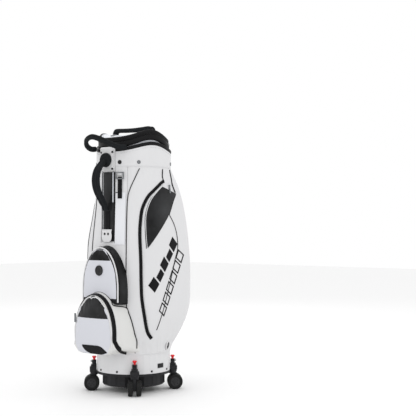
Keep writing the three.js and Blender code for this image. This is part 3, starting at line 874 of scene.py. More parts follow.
# %% rivets and snaps
def stud(name, angle, z, radius, surface_radius, material, slot, slotted=False, body="bag", height=2.2):
    """A domed rivet or snap cap with a rim, and a slot if it is a screw."""
    a = math.radians(angle)
    out = Vector((math.sin(a), -math.cos(a), 0))
    centre = spot(surface_radius * math.sin(a), -surface_radius * math.cos(a), z)
    profile = [(radius, -0.8), (radius, height * 0.35), (radius * 0.86, height * 0.6),
               (radius * 0.72, height * 0.5),
               (radius * 0.6, height * 0.8), (radius * 0.3, height), (0.05, height)]
    parts = [turned_mesh(profile, centre, out, 20)]
    if slotted:
        level = Vector((math.cos(a), math.sin(a), 0))
        path = [centre + level * (radius * 0.55 * s * MM) + out * height * MM for s in (-1, 0, 1)]
        parts.append(bar_mesh(path, oval(1.6, 1.2, 6), side=lambda i: Vector((0, 0, 1))))
    points, faces = joined(*parts)
    return add_piece(name, points, faces, material, slot, body)


def ring_stud(name, angle, z, radius, hole, surface_radius, material, slot):
    """An eyelet or open snap ring."""
    a = math.radians(angle)
    out = Vector((math.sin(a), -math.cos(a), 0))
    centre = spot(surface_radius * math.sin(a), -surface_radius * math.cos(a), z)
    profile = [(hole, -0.6), (hole, 1.2), (hole * 1.15, 1.9), (radius * 0.85, 1.9), (radius, 0.9),
               (radius, -0.6)]
    points, faces = turned_mesh(profile, centre, out, 24)
    faces = faces[:-2]
    size, last = 24, 5 * 24
    faces += [(i, (i + 1) % size, last + (i + 1) % size, last + i) for i in range(size)]
    return add_piece(name, points, faces, material, slot)


RIVET_SPREAD = 17.5
for quarter in range(4):
    for side in (-1, 1):
        angle = quarter * 90 + side * RIVET_SPREAD
        stud(f"cuff_rivet_{quarter}_{'a' if side < 0 else 'b'}", angle, 76, 3.6, 125.1, GLOSS_PLASTIC,
             "black_plastic")

stud("collar_screw", 22, 773, 7, 127.9, GLOSS_PLASTIC, "black_plastic", slotted=True)
for name, angle in (("a", 51), ("b", 122), ("c", -48), ("d", -134)):
    ring_stud(f"collar_snap_{name}", angle, 773, 6.2, 2.6, 127.7, METAL, "dark_metal")
    stud(f"collar_snap_core_{name}", angle, 773, 2.2, 127.6, BRIGHT, "dark_metal")

label_edges = [((90 - 6.4, 84.5), (90 + 6.4, 84.5)), ((90 - 6.4, 92), (90 + 6.4, 92)),
               ((90 - 6.4, 99.5), (90 + 6.4, 99.5))]
patch("cuff_label", label_edges, 1.1, PLASTIC, "black_plastic", surface=cuff, columns=10, rows=8)
print("cuff and collar dressed")

# %% [markdown]
# ## Zips and piping of the apparel pockets
# Each apparel pocket opens along a tall zip that starts beside the collar, swings forward and
# runs down to the cuff. The zip has a black tape, a raised coil and white piping beside
# it. Thinner black piping outlines the front panel and crosses the pocket in a long curve.
# Everything on the right is repeated, mirrored, on the left.

# %% zips
def zip_tape(name, knots, width=10, surface=skin, normal=outward, body="bag", teeth=True, gap=4):
    """Tape with two raised welts and a coil of teeth between them."""
    half = width / 2
    section = [(-half, -0.6), (-half, 0.7), (-half * 0.86, 1.7), (-half * 0.3, 1.5), (-half * 0.22, 0.9),
               (half * 0.22, 0.9), (half * 0.3, 1.5), (half * 0.86, 1.7), (half, 0.7), (half, -0.6)]
    section = [(a * MM, b * MM) for a, b in section]
    tape = ribbon(name, knots, section, BLACK, "black_leather", surface=surface, normal=normal, gap=gap,
                  body=body)
    if teeth:
        for side in (-1, 1):
            stitches(f"{name}_coil_{'a' if side < 0 else 'b'}", knots, GLOSS_PLASTIC, "black_plastic",
                     pitch=2.1,
                     length=1.3, width=2.2, proud=0.55,
                     surface=lambda a, z, p=0.0, s=side: surface(a + s * 0.3, z, p + 0.8),
                     normal=normal, body=body)
    return tape


RIGHT_ZIP = [(94, 712), (87, 704), (74, 680), (63.5, 656), (55.5, 619), (52.3, 578), (51, 527), (52, 443),
             (52.5, 360), (54, 305), (60.4, 219), (68.5, 187)]
ZIP_PIPING = [(93, 700), (84, 688), (74, 668), (66.4, 650), (59, 617), (55.8, 578), (54.4, 527), (55.4, 443),
              (56, 360), (57.4, 305), (63.6, 222), (71, 192)]
FRONT_PIPING = [(52, 752), (46, 724), (38, 684), (34.4, 652), (33.6, 600), (33.6, 500), (33.6, 420),
                (34, 330),
                (35.5, 250), (40, 180), (46, 140)]
SIDE_PIPING = [(99.5, 599), (107, 568), (111, 530), (111, 485), (105.5, 444), (97.5, 378), (83.5, 277),
               (75, 215)]
SHOULDER_PIPING = [(92.5, 752), (91, 727), (93, 706)]
CORNER_PIPING = [(114.5, 752), (113.5, 727), (113, 703), (118, 675)]
for side, flip in (("right", lambda k: k), ("left", mirror)):
    zip_tape(f"apparel_zip_{side}", flip(RIGHT_ZIP), 11)
    piping(f"apparel_zip_piping_{side}", flip(ZIP_PIPING), 3.6, WHITE, "white_leather")
    piping(f"front_piping_{side}", flip(FRONT_PIPING), 3.0)
    piping(f"side_piping_{side}", flip(SIDE_PIPING), 2.6)
    piping(f"shoulder_piping_{side}", flip(SHOULDER_PIPING), 3.4)
    piping(f"corner_piping_{side}", flip(CORNER_PIPING), 4.6)
print("pocket zips and piping done")

# %% [markdown]
# ## The two front pockets
# The ball pocket and the smaller valuables pocket above it are padded boxes with an arched
# face. Each starts as rings that shrink from the root towards the face. A short cloth
# simulation then pumps it up while the rows where it is sewn stay still. Zips and patches
# come afterwards: a ray cast onto the finished cloth finds each point, from the side for
# the gusset and from the front for the face.

# %% inflating and measuring a pocket
POCKET_ROOT = -60
VOXEL = 5 * MM
PRESSURE = 4
CLOTH_FRAMES = 20


def inflate(piece, is_sewn, cap_mm):
    """Pumps up a closed soft shell with a cloth simulation and applies the result."""
    scene = bpy.context.scene
    even = piece.modifiers.new("even", "REMESH")
    even.mode = "VOXEL"
    even.voxel_size = VOXEL
    graph = bpy.context.evaluated_depsgraph_get()
    mesh = bpy.data.meshes.new_from_object(piece.evaluated_get(graph))
    piece.modifiers.clear()
    piece.data = mesh
    start = [v.co.copy() for v in mesh.vertices]
    sewn = piece.vertex_groups.new(name="sewn")
    sewn.add([i for i, p in enumerate(start) if is_sewn(p.x / MM, (p.y - AXIS_Y) / MM, p.z / MM)], 1.0,
             "REPLACE")
    cloth = piece.modifiers.new("cloth", "CLOTH")
    cloth.settings.vertex_group_mass = "sewn"
    cloth.settings.use_pressure = True
    cloth.settings.uniform_pressure_force = PRESSURE
    cloth.settings.effector_weights.gravity = 0
    for frame_number in range(1, CLOTH_FRAMES + 1):
        scene.frame_set(frame_number)
    graph = bpy.context.evaluated_depsgraph_get()
    moved = [v.co.copy() for v in piece.evaluated_get(graph).data.vertices]
    piece.modifiers.clear()
    for vertex, old, new in zip(mesh.vertices, start, moved):
        step = new - old
        if step.length > cap_mm * MM:
            step = step.normalized() * cap_mm * MM
        vertex.co = old + step
    for face in mesh.polygons:
        face.use_smooth = True
    scene.frame_set(1)


def arch_points(half, bottom, top, corner, count=22):
    """(x, z) places up the left side of an arch, over its top and down the right side."""
    left = [(-half, bottom + (top - corner - bottom) * i / 8) for i in range(8)]
    pull = [(-half, top - corner), (-half, top - corner * 0.45), (-half * 0.55, top), (0, top)]
    for i in range(count + 1):
        t = i / count
        weights = ((1 - t) ** 3, 3 * t * (1 - t) ** 2, 3 * t ** 2 * (1 - t), t ** 3)
        left.append(tuple(sum(w * p[axis] for w, p in zip(weights, pull)) for axis in (0, 1)))
    return left + [(-x, z) for x, z in reversed(left[:-1])]


class Pocket:
    """A padded pocket with an arched face, and ways to find places on it."""

    def __init__(self, name, arch, depths, face_scale, middle, node, material, slot, is_sewn, cap_mm,
                 corner_lift):
        self.corner_lift = corner_lift
        self.arch = arch_points(*arch)
        self.root, self.face_depth = depths
        self.face_scale, self.middle = face_scale, middle
        half, bottom = arch[0], arch[1]
        loop = self.arch + [(half - half * i / 5, bottom) for i in range(1, 10)]
        face = self.face_depth
        heart = self.scaled(0, (bottom + arch[2]) / 2, face)[1]
        rings = [(share, inset) for share, inset in ((0, 0.1), (0, 0.4), (0, 0.7))]
        rings += [(i / 6, 1.0) for i in range(7)]
        rounding = [(3, 0.99), (0.6, 0.965), (-0.4, 0.92), (-1, 0.7), (-1.4, 0.4), (-1.4, 0.1)]
        rounded = arch[0] * 0.55
        points = []
        for share, inset in rings:
            for x, z in loop:
                tube = -math.sqrt(TUBE_FACE ** 2 - (x * inset) ** 2) - 1.5
                y = tube + (face + 8 - tube) * share
                wide, high = self.scaled(x, z, y)
                high += self.tuck(wide, high, rounded) * share
                points.append(spot(wide * inset, y, heart + (high - heart) * inset))
        for rise, inset in rounding:
            for x, z in loop:
                wide, high = self.scaled(x, z, face)
                high += self.tuck(wide, high, rounded)
                points.append(spot(wide * inset, face + rise, heart + (high - heart) * inset))
        rings += rounding
        size = len(loop)
        faces = grid_faces(len(rings), size, closed_columns=True)
        faces += [tuple(range(size)), tuple(range((len(rings) - 1) * size, len(rings) * size))]
        self.piece = add_piece(name, points, faces, material, slot, replaces=(node,))
        inflate(self.piece, is_sewn, cap_mm)
        mesh = self.piece.data
        self.tree = BVHTree.FromPolygons([v.co for v in mesh.vertices],
                                         [tuple(p.vertices) for p in mesh.polygons])

    def scaled(self, x, z, y):
        share = (y - self.face_depth) / (self.root - self.face_depth)
        scale = self.face_scale + (1 - self.face_scale) * share
        return x * scale, self.middle + (z - self.middle) * scale

    def tuck(self, wide, high, rounded):
        """Lifts the lower corners of the face, so that they are round."""
        beyond = max(0, abs(wide) - rounded) / 34
        near_floor = max(0, 1 - (high - self.middle) / 45)
        return self.corner_lift * beyond ** 2 * near_floor

    def edge(self, percent):
        """Place and outward direction on the arch, percent of the way round it from the left."""
        where = min(max(percent / 100, 0), 1) * (len(self.arch) - 1)
        i = min(int(where), len(self.arch) - 2)
        (xa, za), (xb, zb) = self.arch[i], self.arch[i + 1]
        t = where - i
        return (xa + (xb - xa) * t, za + (zb - za) * t), Vector((-(zb - za), 0, xb - xa)).normalized()

    def side(self, percent, y, proud=0.0):
        (x, z), out = self.edge(percent)
        wide, high = self.scaled(x, z, y)
        flat = spot(wide, y, high)
        hit = self.tree.ray_cast(flat + out * 0.05, -out, 0.08)[0]
        return (hit or flat) + out * (proud * MM)

    def side_out(self, percent, y):
        return (self.edge(percent)[1] + Vector((0, -0.25, 0))).normalized()

    def face(self, x, z, proud=0.0):
        hit = self.tree.ray_cast(spot(x, -320, z), Vector((0, 1, 0)), 0.3)[0]
        return (hit or spot(x, self.face_depth, z)) + Vector((0, -proud * MM, 0))

    def face_out(self, x, z):
        return Vector((0, -1, 0))

    def half_width(self, height, inset):
        """Half width of the face at a height, inset millimetres inside its edge."""
        best = 0
        for x, z in self.arch:
            wide, high = self.scaled(x, z, self.face_depth)
            if high >= height:
                best = max(best, abs(wide))
        return max(best - inset, 1)

    def band(self, low, high, inset, count=9, slant=0.0):
        """Rows of (left place, right place) that fill the face between two heights."""
        rows = []
        for i in range(count):
            z = low + (high - low) * (1 - (1 - i / (count - 1)) ** 1.5)
            half = self.half_width(z, inset)
            if z < self.middle + self.corner_lift:
                half = min(half, half * (0.72 + 0.28 * math.sqrt(max(0, z - self.middle) / self.corner_lift)))
            rows.append(((-half, z + slant), (half, z - slant)))
        return rows

    def panel(self, name, rows, proud, material, slot="white_leather"):
        return patch(name, rows, proud, material, slot, surface=self.face, columns=30, rows=40, hem=1.5)

    def trim(self, name, knots, width, material, slot="black_leather"):
        return piping(name, knots, width, material, slot, surface=self.side, normal=self.side_out, steps=10)


print("pocket tools ready")


# %% the two pockets
def ball_is_sewn(x, y, z):
    return math.hypot(x, y) < 128 or abs(y + 184) < 3.5 or z < 143


def valuables_is_sewn(x, y, z):
    return math.hypot(x, y) < 128 or abs(y + 157) < 3.5 or z < 318 or math.hypot(x, z - 413) < 24


ball = Pocket("ball_pocket_leather", (105, 139, 370, 150), (POCKET_ROOT, -195), 0.84, 139, "ball_pocket",
              WARM_WHITE, "white_leather", ball_is_sewn, 7, 24)
valuables = Pocket("valuables_pocket_leather", (92, 300, 511, 150), (POCKET_ROOT, -163.4), 0.88, 320,
                   "front_pocket",
                   PATENT, "black_leather", valuables_is_sewn, 5, 0)


# %% ball pocket: zip band, piping and patches
def even_arch(depth, first=0, last=100, count=15):
    return [(first + (last - first) * i / (count - 1), depth) for i in range(count)]


flare = [(92, -180), (95, -170), (97.5, -150), (99, -122)]
back_flare = [(100 - p, y) for p, y in reversed(flare)]
zip_tape("ball_zip", back_flare + even_arch(-184, 10, 90, 13) + flare, 15, surface=ball.side,
         normal=ball.side_out)
ball.trim("ball_piping_inner", even_arch(-193, 5, 95, 19), 4.6, WHITE, "white_leather")
ball.trim("ball_piping_outer", even_arch(-175.5, 9, 91, 15), 2.6, WHITE, "white_leather")
ball.panel("ball_front", ball.band(141, 332, 7), 1.0, COOL_WHITE)
ball.panel("ball_top_patch", ball.band(258, 331, 9), 1.9, PATENT, "black_leather")
stitches("ball_top_stitching", [(-80, 262), (0, 262), (80, 262)], THREAD_BLACK,
         surface=lambda x, z, p=0: ball.face(x, z, p + 2),
         normal=ball.face_out)
scuff_rows = [((-8, 141), (40, 141)), ((-30, 148), (62, 147)), ((-42, 158), (66, 152)),
              ((-46, 166), (46, 166)), ((-44, 169), (30, 170))]
ball.panel("ball_scuff_patch", scuff_rows, 2.2, BLACK, "black_leather")


def meeting_depth(percent):
    """How far back the ball pocket's gusset goes before it meets the bag or the pocket above."""
    (x, z), out = ball.edge(percent)
    depth = -186
    while depth < -92:
        wide, high = ball.scaled(x, z, depth)
        angle = math.degrees(math.atan2(wide, -depth))
        in_bag = math.hypot(wide, depth) < skin_radius(angle, high) + 0.5
        in_pocket = depth > -165 and abs(wide) < 81 + (depth + 165) * 0.1
        if in_bag or (in_pocket and high > 300):
            break
        depth += 0.5
    return depth


foot_line = [(p, meeting_depth(p)) for p in range(1, 100, 4)]
ball.trim("ball_foot_piping", foot_line, 3.4, BLACK)
print("ball pocket done")

# %% valuables pocket: panel, patch and piping
valuables.trim("valuables_piping_white", even_arch(-160, 2, 98, 19), 5.0, WHITE, "white_leather")
valuables.trim("valuables_piping_black", even_arch(-154, 2, 98, 19), 3.4, BLACK)
valuables.panel("valuables_front", valuables.band(322, 482, 5), 0.8, COOL_WHITE)
valuables.panel("valuables_top_patch", valuables.band(446, 481, 7), 1.5, PATENT, "black_leather")
button_place = spot(0, -166, 413)
dome = [(17, -1), (17, 2.4), (15.6, 3.6), (12.5, 3.4), (11.5, 2.8), (8, 3.2), (0.1, 3.4)]
add_piece("magnet_button_cap", *turned_mesh(dome, button_place, Vector((0, -1, 0)), 40), GLOSS_PLASTIC,
          "black_plastic", replaces=("magnet_button",))
print("valuables pocket done")

# %% [markdown]
# ## Down the middle of the front
# From the collar down: a riveted white plate whose top curls over the trim, a padded carry
# handle that springs from a round boss, a patent channel edged by a raised strip whose pale
# colour paints its glossy highlight, and a white tab that anchors the lower end. Beside the
# channel hang the umbrella ring and its strap over a glove patch.

# %% channel, painted highlight strip and tab
channel_rows = [((-11.5, z), (11.5, z)) for z in (512, 570, 630, 690, 738)]
patch("channel_leather", channel_rows, 1.2, PATENT, "black_leather", surface=cylinder_skin(124.5),
      columns=12, hem=0.4)
for name, at in (("right", 12.8), ("left", -12.8)):
    ribbon(f"channel_welt_{name}", [(at, 512), (at, 620), (at, 739)], flat_section(3.4, 2.2), BLACK,
           "black_leather",
           surface=cylinder_skin(125.2), normal=radial)
# A raised strip whose pale shell colour paints the glossy highlight along the channel's right edge.
ribbon("channel_highlight_strip", [(10.2, 640), (10.2, 690), (10.2, 740)], flat_section(4.6, 2.6), SHELL, "dark_metal",
       surface=cylinder_skin(125.4), normal=radial)
ribbon("channel_lining", [(-11, 512), (-11, 620), (-11, 739)], flat_section(2.4, 2.0), PALE_GREY,
       "grey_panel",
       surface=cylinder_skin(125.4), normal=radial)

tab_face = -(124.3 + 0.35 + 2.8 + 0.35 + 3)


def tab_surface(x, z, proud=0.0):
    return spot(x, tab_face - proud, z)


def tab_normal(x, z):
    return Vector((0, -1, 0))


tab_rows = [((-12, 506), (12, 506)), ((-20, 514), (20, 514)), ((-23, 527), (23, 527)),
            ((-21, 540), (21, 540)),
            ((-24, 549), (24, 549))]
patch("lower_tab_leather", tab_rows, 1.4, WHITE, "white_leather", surface=tab_surface, columns=16, hem=0.3)
for name, at in (("a", -8), ("b", 8)):
    dot = [(4.2, -0.5), (4.2, 0.9), (3.1, 1.3), (0.1, 1.3)]
    add_piece(f"tab_rivet_{name}", *turned_mesh(dot, spot(at, tab_face - 1.3, 534), Vector((0, -1, 0)), 18),
              GLOSS_PLASTIC, "black_plastic")
stitches("tab_stitching", [(-17, 545), (0, 545), (17, 545)], THREAD_BLACK,
         surface=lambda x, z, p=0: tab_surface(x, z, p + 1.4),
         normal=tab_normal, pitch=3.4, length=2)

# %% plate with its curled top and rivets
plate_skin = cylinder_skin(132.8)
PLATE_HALF = 14.2
plate_rows = [((-PLATE_HALF, z), (PLATE_HALF, z)) for z in (745, 765, 785, 805, 818)]
patch("plate_leather", plate_rows, 1.0, WHITE, "white_leather", surface=plate_skin, columns=16, hem=0.4)
curl_outer, curl_inner = [], []
for i in range(9):
    turned_by = math.radians(i * 20)
    outer_row, inner_row = [], []
    for c in range(13):
        a = math.radians(-PLATE_HALF + 2 * PLATE_HALF * c / 12)
        for row, thick in ((outer_row, 6.4), (inner_row, 3.8)):
            reach = 127.4 + thick * math.cos(turned_by)
            row.append(spot(reach * math.sin(a), -reach * math.cos(a),
                            817 + 1.3 * thick * math.sin(turned_by)))
    curl_outer.append(outer_row)
    curl_inner.append(inner_row)
add_piece("plate_curl", *shell_mesh(curl_outer, curl_inner), WHITE, "white_leather")
for row, z in (("top", 807), ("bottom", 751)):
    for side, sign in (("right", 1), ("left", -1)):
        stud(f"plate_rivet_{row}_{side}", sign * 11.2, z, 3.9, 133.9, GLOSS_PLASTIC, "black_plastic")
outline = [(-13.2, 748), (-13.2, 780), (-13.2, 814)]
for name, knots in (("left", outline), ("right", mirror(outline))):
    stitches(f"plate_stitching_{name}", knots, THREAD_BLACK,
             surface=lambda a, z, p=0.0: plate_skin(a, z, p + 1), normal=radial)

# %% carry handle
handle_knots = [(-139, 783), (-156, 768), (-174, 746), (-182, 716), (-177, 683), (-159, 652),
                (-143, 630), (-137.5, 613)]
handle_path = [spot(0, y, z) for y, z in smooth_curve(handle_knots, 9)]
handle_points = []


def strip_section(share):
    """Two padded strips side by side with a dip between them; wider in the grip."""
    width = 24 + 9 * math.sin(math.pi * min(1, share * 1.15))
    height = 13 + 3 * math.sin(math.pi * share)
    section = []
    for i in range(28):
        a = 2 * math.pi * i / 28
        x = math.copysign(abs(math.cos(a)) ** 0.7, math.cos(a))
        dip = 1 - 0.34 * math.exp(-(x / 0.22) ** 2)
        y = math.copysign(abs(math.sin(a)) ** 0.8, math.sin(a)) * dip
        section.append((x * width / 2 * MM, y * height / 2 * MM))
    return section


for i, centre in enumerate(handle_path):
    ahead = handle_path[min(i + 1, len(handle_path) - 1)] - handle_path[max(i - 1, 0)]
    out = ahead.cross(Vector((1, 0, 0))).normalized()
    for a, b in strip_section(i / (len(handle_path) - 1)):
        handle_points.append(centre + Vector((1, 0, 0)) * a + out * b)
handle_faces = grid_faces(len(handle_path), 28, closed_columns=True)
handle_faces += [tuple(range(28)), tuple(range((len(handle_path) - 1) * 28, len(handle_path) * 28))]
boss = [(23.6, 0), (24, 5), (23, 9), (20, 12), (12, 13.5), (0.1, 14)]
boss_part = turned_mesh(boss, spot(0, -132.8, 781), Vector((0, -1, 0)), 40)
grip = add_piece("carry_handle_grip", *joined((handle_points, handle_faces), boss_part), PAD_CLOTH,
                 "black_webbing",
                 replaces=("carry_handle",))
for name, at in (("left", -9), ("right", 9)):
    edge_path = [(at, -y, z) for y, z in handle_knots[1:-1]]
    points, faces = bar_mesh([spot(x, -y - 7.6, z) for x, y, z in smooth_curve(edge_path, 8)],
                             oval(2.2, 2.2, 6), side=lambda i: Vector((1, 0, 0)))
    add_piece(f"carry_handle_cord_{name}", points, faces, BLACK, "black_webbing")

# %% grab loop
loop_half = [(72, -115, 822), (68, -138, 821), (58, -165, 828), (42, -186, 840), (20, -198, 850)]
loop_knots = loop_half + [(0, -201, 854)] + [(-x, y, z) for x, y, z in reversed(loop_half)]
loop_path = [spot(*p) for p in smooth_curve(loop_knots, 8)]


def loop_side(i):
    ahead = loop_path[min(i + 1, len(loop_path) - 1)] - loop_path[max(i - 1, 0)]
    return Vector((0, 0.35, 1)).cross(ahead).normalized()


points, faces = bar_mesh(loop_path, oval(13.5, 18.5, 16, 2.4), side=loop_side)
add_piece("grab_loop_grip", points, faces, PAD_CLOTH, "black_webbing",
                    replaces=("grab_loop",))
for name, lift in (("a", 4), ("b", -4)):
    seam = [p + Vector((0, 0, lift * MM)) + (p - spot(0, -120,
                                                      835)).normalized() * 6.4 * MM for p in loop_path]
    points, faces = bar_mesh(seam, oval(1.6, 1.6, 6), side=loop_side)
    add_piece(f"grab_loop_seam_{name}", points, faces, BLACK, "black_webbing")

# %% glove patch and umbrella strap
glove_rows = [((15.2, z), (31.3, z)) for z in (501, 540, 580, 630, 670)]
patch("glove_leather", glove_rows, 1.0, LILAC, "grey_panel", columns=14)
piping("glove_edge_side", [(15.3, 503), (15.3, 580), (15.3, 670)], 2.6)
piping("glove_edge_top", [(15.3, 671), (17.5, 671.5), (19.3, 671)], 3.0)
for i, z in enumerate((642, 630, 618, 604)):
    patch(f"glove_mark_{i}", [((22.6, z - 2.2), (24.2, z - 2.2)), ((22.6, z + 2.2), (24.2, z + 2.2))], 1.6,
          METAL, "grey_panel", columns=4, rows=4)
ribbon("umbrella_keeper_loop", [(23, 742), (23, 730)], flat_section(13, 2.0), WHITE, "white_leather",
       surface=cylinder_skin(132), normal=radial, body="umbrella_loop")
print("front fittings done")

# %% [markdown]
# ## Patches, print and hardware on the apparel pockets
# A glossy patent pouch follows the upper zip, two rows of slanted printed blocks run up the
# pocket's curve, and an eyelet sits low behind it. The blocks are plain shapes: solid ones
# in the first row, outlined ones in the second.

# %% patent pouch
POUCH = [((58.5, 486), (60, 486)), ((57.5, 540), (78, 540)), ((59, 599), (99.5, 599)),
         ((66.5, 645), (111, 645)),
         ((78, 676), (117.5, 664)), ((88, 694), (119, 672))]
for side, sign in (("right", 1), ("left", -1)):
    rows = [((sign * a, z), (sign * b, y)) for (a, z), (b, y) in POUCH]
    if sign < 0:
        rows = [(b, a) for a, b in rows]
    patch(f"pouch_leather_{side}", rows, 2.0, PATENT, "black_leather", columns=26, rows=40)
    edge = [(sign * (a + 1.2), z) for (a, z), b in POUCH]
    piping(f"pouch_piping_{side}", edge, 3.0, WHITE, "white_leather")
    outer_edge = [(sign * b, z) for a, (b, z) in POUCH[2:]]
    piping(f"pouch_outer_piping_{side}", outer_edge, 3.0)

# %% printed blocks
def slanted_blocks(name, start, end, height, count, gap, outlined, sign):
    """A row of leaning blocks between two places; outlined ones are bars round a bare middle."""
    parts = []
    (a0, z0), (a1, z1) = start, end
    length = math.hypot((a1 - a0) * 2.45, z1 - z0)
    along = ((a1 - a0) / length, (z1 - z0) / length)
    up = (-along[1] / 2.45, along[0] * 2.45)
    block_length = (length - gap * (count - 1)) / count

    def at(s, t):
        s += t * 0.3
        return (sign * (a0 + along[0] * s + up[0] * t), z0 + along[1] * s + up[1] * t)

    def quad(s0, s1, t0, t1):
        outer, inner = [], []
        for r in range(5):
            t = t0 + (t1 - t0) * r / 4
            places = [at(s0 + (s1 - s0) * c / 4, t) for c in range(5)]
            outer.append([skin(*place, 0.75) for place in places])
            inner.append([skin(*place, -0.3) for place in places])
        parts.append(shell_mesh(outer, inner))

    for i in range(count):
        s = i * (block_length + gap)
        e = s + block_length
        bar = height * 0.14
        if outlined:
            quad(s, e, 0, bar)
            quad(s, e, height - bar, height)
            quad(s, s + bar, bar, height - bar)
            quad(e - bar, e, bar, height - bar)
        else:
            quad(s, e, 0, height * (0.72 if i % 2 else 1.0))
    return add_piece(name, *joined(*parts), PRINT, "black_leather")


for side, sign in (("right", 1), ("left", -1)):
    slanted_blocks(f"print_solid_{side}", (69.5, 340), (111, 500), 31, 5, 6, False, sign)
    slanted_blocks(f"print_outline_{side}", (86, 258), (122, 462), 30, 6, 6, True, sign)

# %% eyelets, tag and shoulder wedges
for side, sign in (("right", 1), ("left", -1)):
    angle = sign * 106
    centre = skin(angle, 156)
    out = outward(angle, 156)
    for name, profile, finish in (
        ("arch", [(17, -1.5), (17, 1.2), (14.5, 2.2), (12.6, 1.2), (12.6, -1.5)], WHITE),
        ("ring", [(12.4, -1.5), (12.4, 1.6), (10.5, 3), (7.5, 2.2), (6.6, 0.6), (0.1, 0.4)], GLOSS_PLASTIC),
    ):
        slot = "white_leather" if name == "arch" else "black_plastic"
        add_piece(f"eyelet_{name}_{side}", *turned_mesh(profile, centre, out, 36), finish, slot)
    wedge = [((sign * 93.5, 706), (sign * 112, 704)), ((sign * 92.5, 730), (sign * 112.5, 728)),
             ((sign * 93.5, 753), (sign * 113.5, 753))]
    if sign < 0:
        wedge = [(b, a) for a, b in wedge]
    patch(f"shoulder_wedge_{side}", wedge, 1.0, WHITE, "white_leather")
ribbon("red_tag", [(-62, 748), (-62, 722), (-62, 700)], flat_section(8, 1.8), RED, "red_plastic")
ribbon("red_tag_buckle", [(-62, 708), (-62, 698)], flat_section(12, 3.2), BLACK, "black_plastic")
print("side details done")

# %% [markdown]
# ## The back
# A patent patch sits under the collar, and below it a pale arched panel is zipped on, with
# two snaps in its lower corners. Two dark bands run from the collar and draw together
# at the cuff.

# %% back patch, panel and bands
back_patch_rows = [((161, 645), (199, 645)), ((156, 680), (204, 680)), ((150, 720), (210, 720)),
                   ((146, 754), (214, 754))]
patch("back_patch_leather", back_patch_rows, 2.2, PATENT, "black_leather", columns=24)
for side, knots in (("a", [(160, 643), (155, 680), (149, 720), (145, 754)]),
                    ("b", [(200, 643), (205, 680), (211, 720), (215, 754)])):
    piping(f"back_patch_piping_{side}", knots, 3.0, WHITE, "white_leather")
piping("back_patch_piping_c", [(160, 643), (170, 640), (180, 639), (190, 640), (200, 643)], 3.0, WHITE,
       "white_leather")

PANEL_EDGE = [(-77, 228), (-77, 300), (-77, 400), (-77, 480), (-72, 530), (-52, 568), (-24, 586), (0, 590)]
panel_edge = PANEL_EDGE + [(-x, z) for x, z in reversed(PANEL_EDGE[:-1])]


def back_place(x, z):
    """An (angle, height) place on the back, x millimetres from its middle line."""
    return 180 - math.degrees(math.atan2(x, 170)), z


rows = [((back_place(77 * w, z)), (back_place(-77 * w, z))) for z, w in
        ((228, 1), (300, 1), (380, 1), (450, 1), (500, 0.99), (530, 0.93), (555, 0.8), (572, 0.62),
         (583, 0.4), (588, 0.2))]
panel = patch("back_panel_leather", rows, 6.0, PALE_GREY, "grey_panel", columns=26, rows=50)
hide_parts("back_panel")
zip_tape("back_panel_zip", [back_place(x, z) for x, z in panel_edge], 10,
         surface=lambda a, z, p=0.0: skin(a, z, p + 2.2))
ribbon("back_panel_hem", [back_place(x, 228) for x in (-76, -40, 0, 40, 76)], flat_section(7, 2.2), BLACK,
       "black_leather", surface=lambda a, z, p=0.0: skin(a, z, p + 4.8))
for side, sign in (("a", 1), ("b", -1)):
    angle, z = back_place(58 * sign, 250)
    cap = [(11, -1), (11, 1.6), (9.4, 2.8), (7.4, 2.2), (6, 3.2), (0.1, 3.6)]
    add_piece(f"back_snap_{side}", *turned_mesh(cap, skin(angle, z, 6.2), outward(angle, z), 28),
              GLOSS_PLASTIC, "black_plastic")
    band = [back_place(sign * x, z) for x,
            z in ((92, 748), (97, 680), (100, 560), (97, 420), (88, 300), (72, 200), (60, 150))]
    ribbon(f"back_band_{side}", band, flat_section(7, 1.8), BLACK, "black_leather")
print("back done")

# %% [markdown]
# ## Travel hood and its lid
# The hood is a rigid tube that telescopes out of the bag, with a rounded trim that follows the
# same wave as the collar. Its zipped lid is a saddle set inside a soft black skirt. A
# white leather tab at the back is the lid's hinge, one curved piece across the hood and the lid.

# %% trim and skirt
TRIM_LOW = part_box("hood_trim")[0][2] / MM
HOOD_RISE = 28
LID_RISE = 27
hood_profile = rounded_ring(115.6, 122, TRIM_LOW, TRIM_LOW + 19.6, 5)
wave_trim("hood_rim_binding", hood_profile, HOOD_RISE, BLACK, "black_leather", "hood", "hood_trim")
SKIRT_LOW = TRIM_LOW + 20.8
skirt_profile = [(114.8, SKIRT_LOW), (118.4, SKIRT_LOW), (119.2, SKIRT_LOW + 3), (118.6, SKIRT_LOW + 5),
                 (120, SKIRT_LOW + 8), (119.4, SKIRT_LOW + 12), (116.4, SKIRT_LOW + 15.2),
                 (114.6, SKIRT_LOW + 15.6)]
wave_trim("lid_skirt_leather", skirt_profile, LID_RISE, BLACK, "black_leather", "lid", "lid_skirt")


def wave_line(low, rise, step=10):
    return [(a, low + rise * climb(a)) for a in range(-180, 181, step)]


for i, (height, radius, rise, body) in enumerate(((4.2, 118.9, LID_RISE, "lid"),
                                                  (-2.6, 121.9, HOOD_RISE, "hood"))):
    stitches(f"hood_zip_row_{i}", wave_line(SKIRT_LOW + height, rise), GLOSS_PLASTIC, "black_plastic",
             pitch=2.6,
             length=1.6, width=1.8, proud=0.5, surface=cylinder_skin(radius), normal=radial, body=body,
             steps=8)

# %% lid
LID_EDGE = 114.0
LID_CROWN = 18
DOME_LOW = SKIRT_LOW + 16 - 6


def lid_height(x, y, below=0.0):
    share = math.hypot(x, y) / LID_EDGE
    angle = math.degrees(math.atan2(x, -y)) if share > 0.01 else 0
    return DOME_LOW + 4 - below + LID_RISE * climb(angle) * share ** 2 + LID_CROWN * (1 - share ** 2)


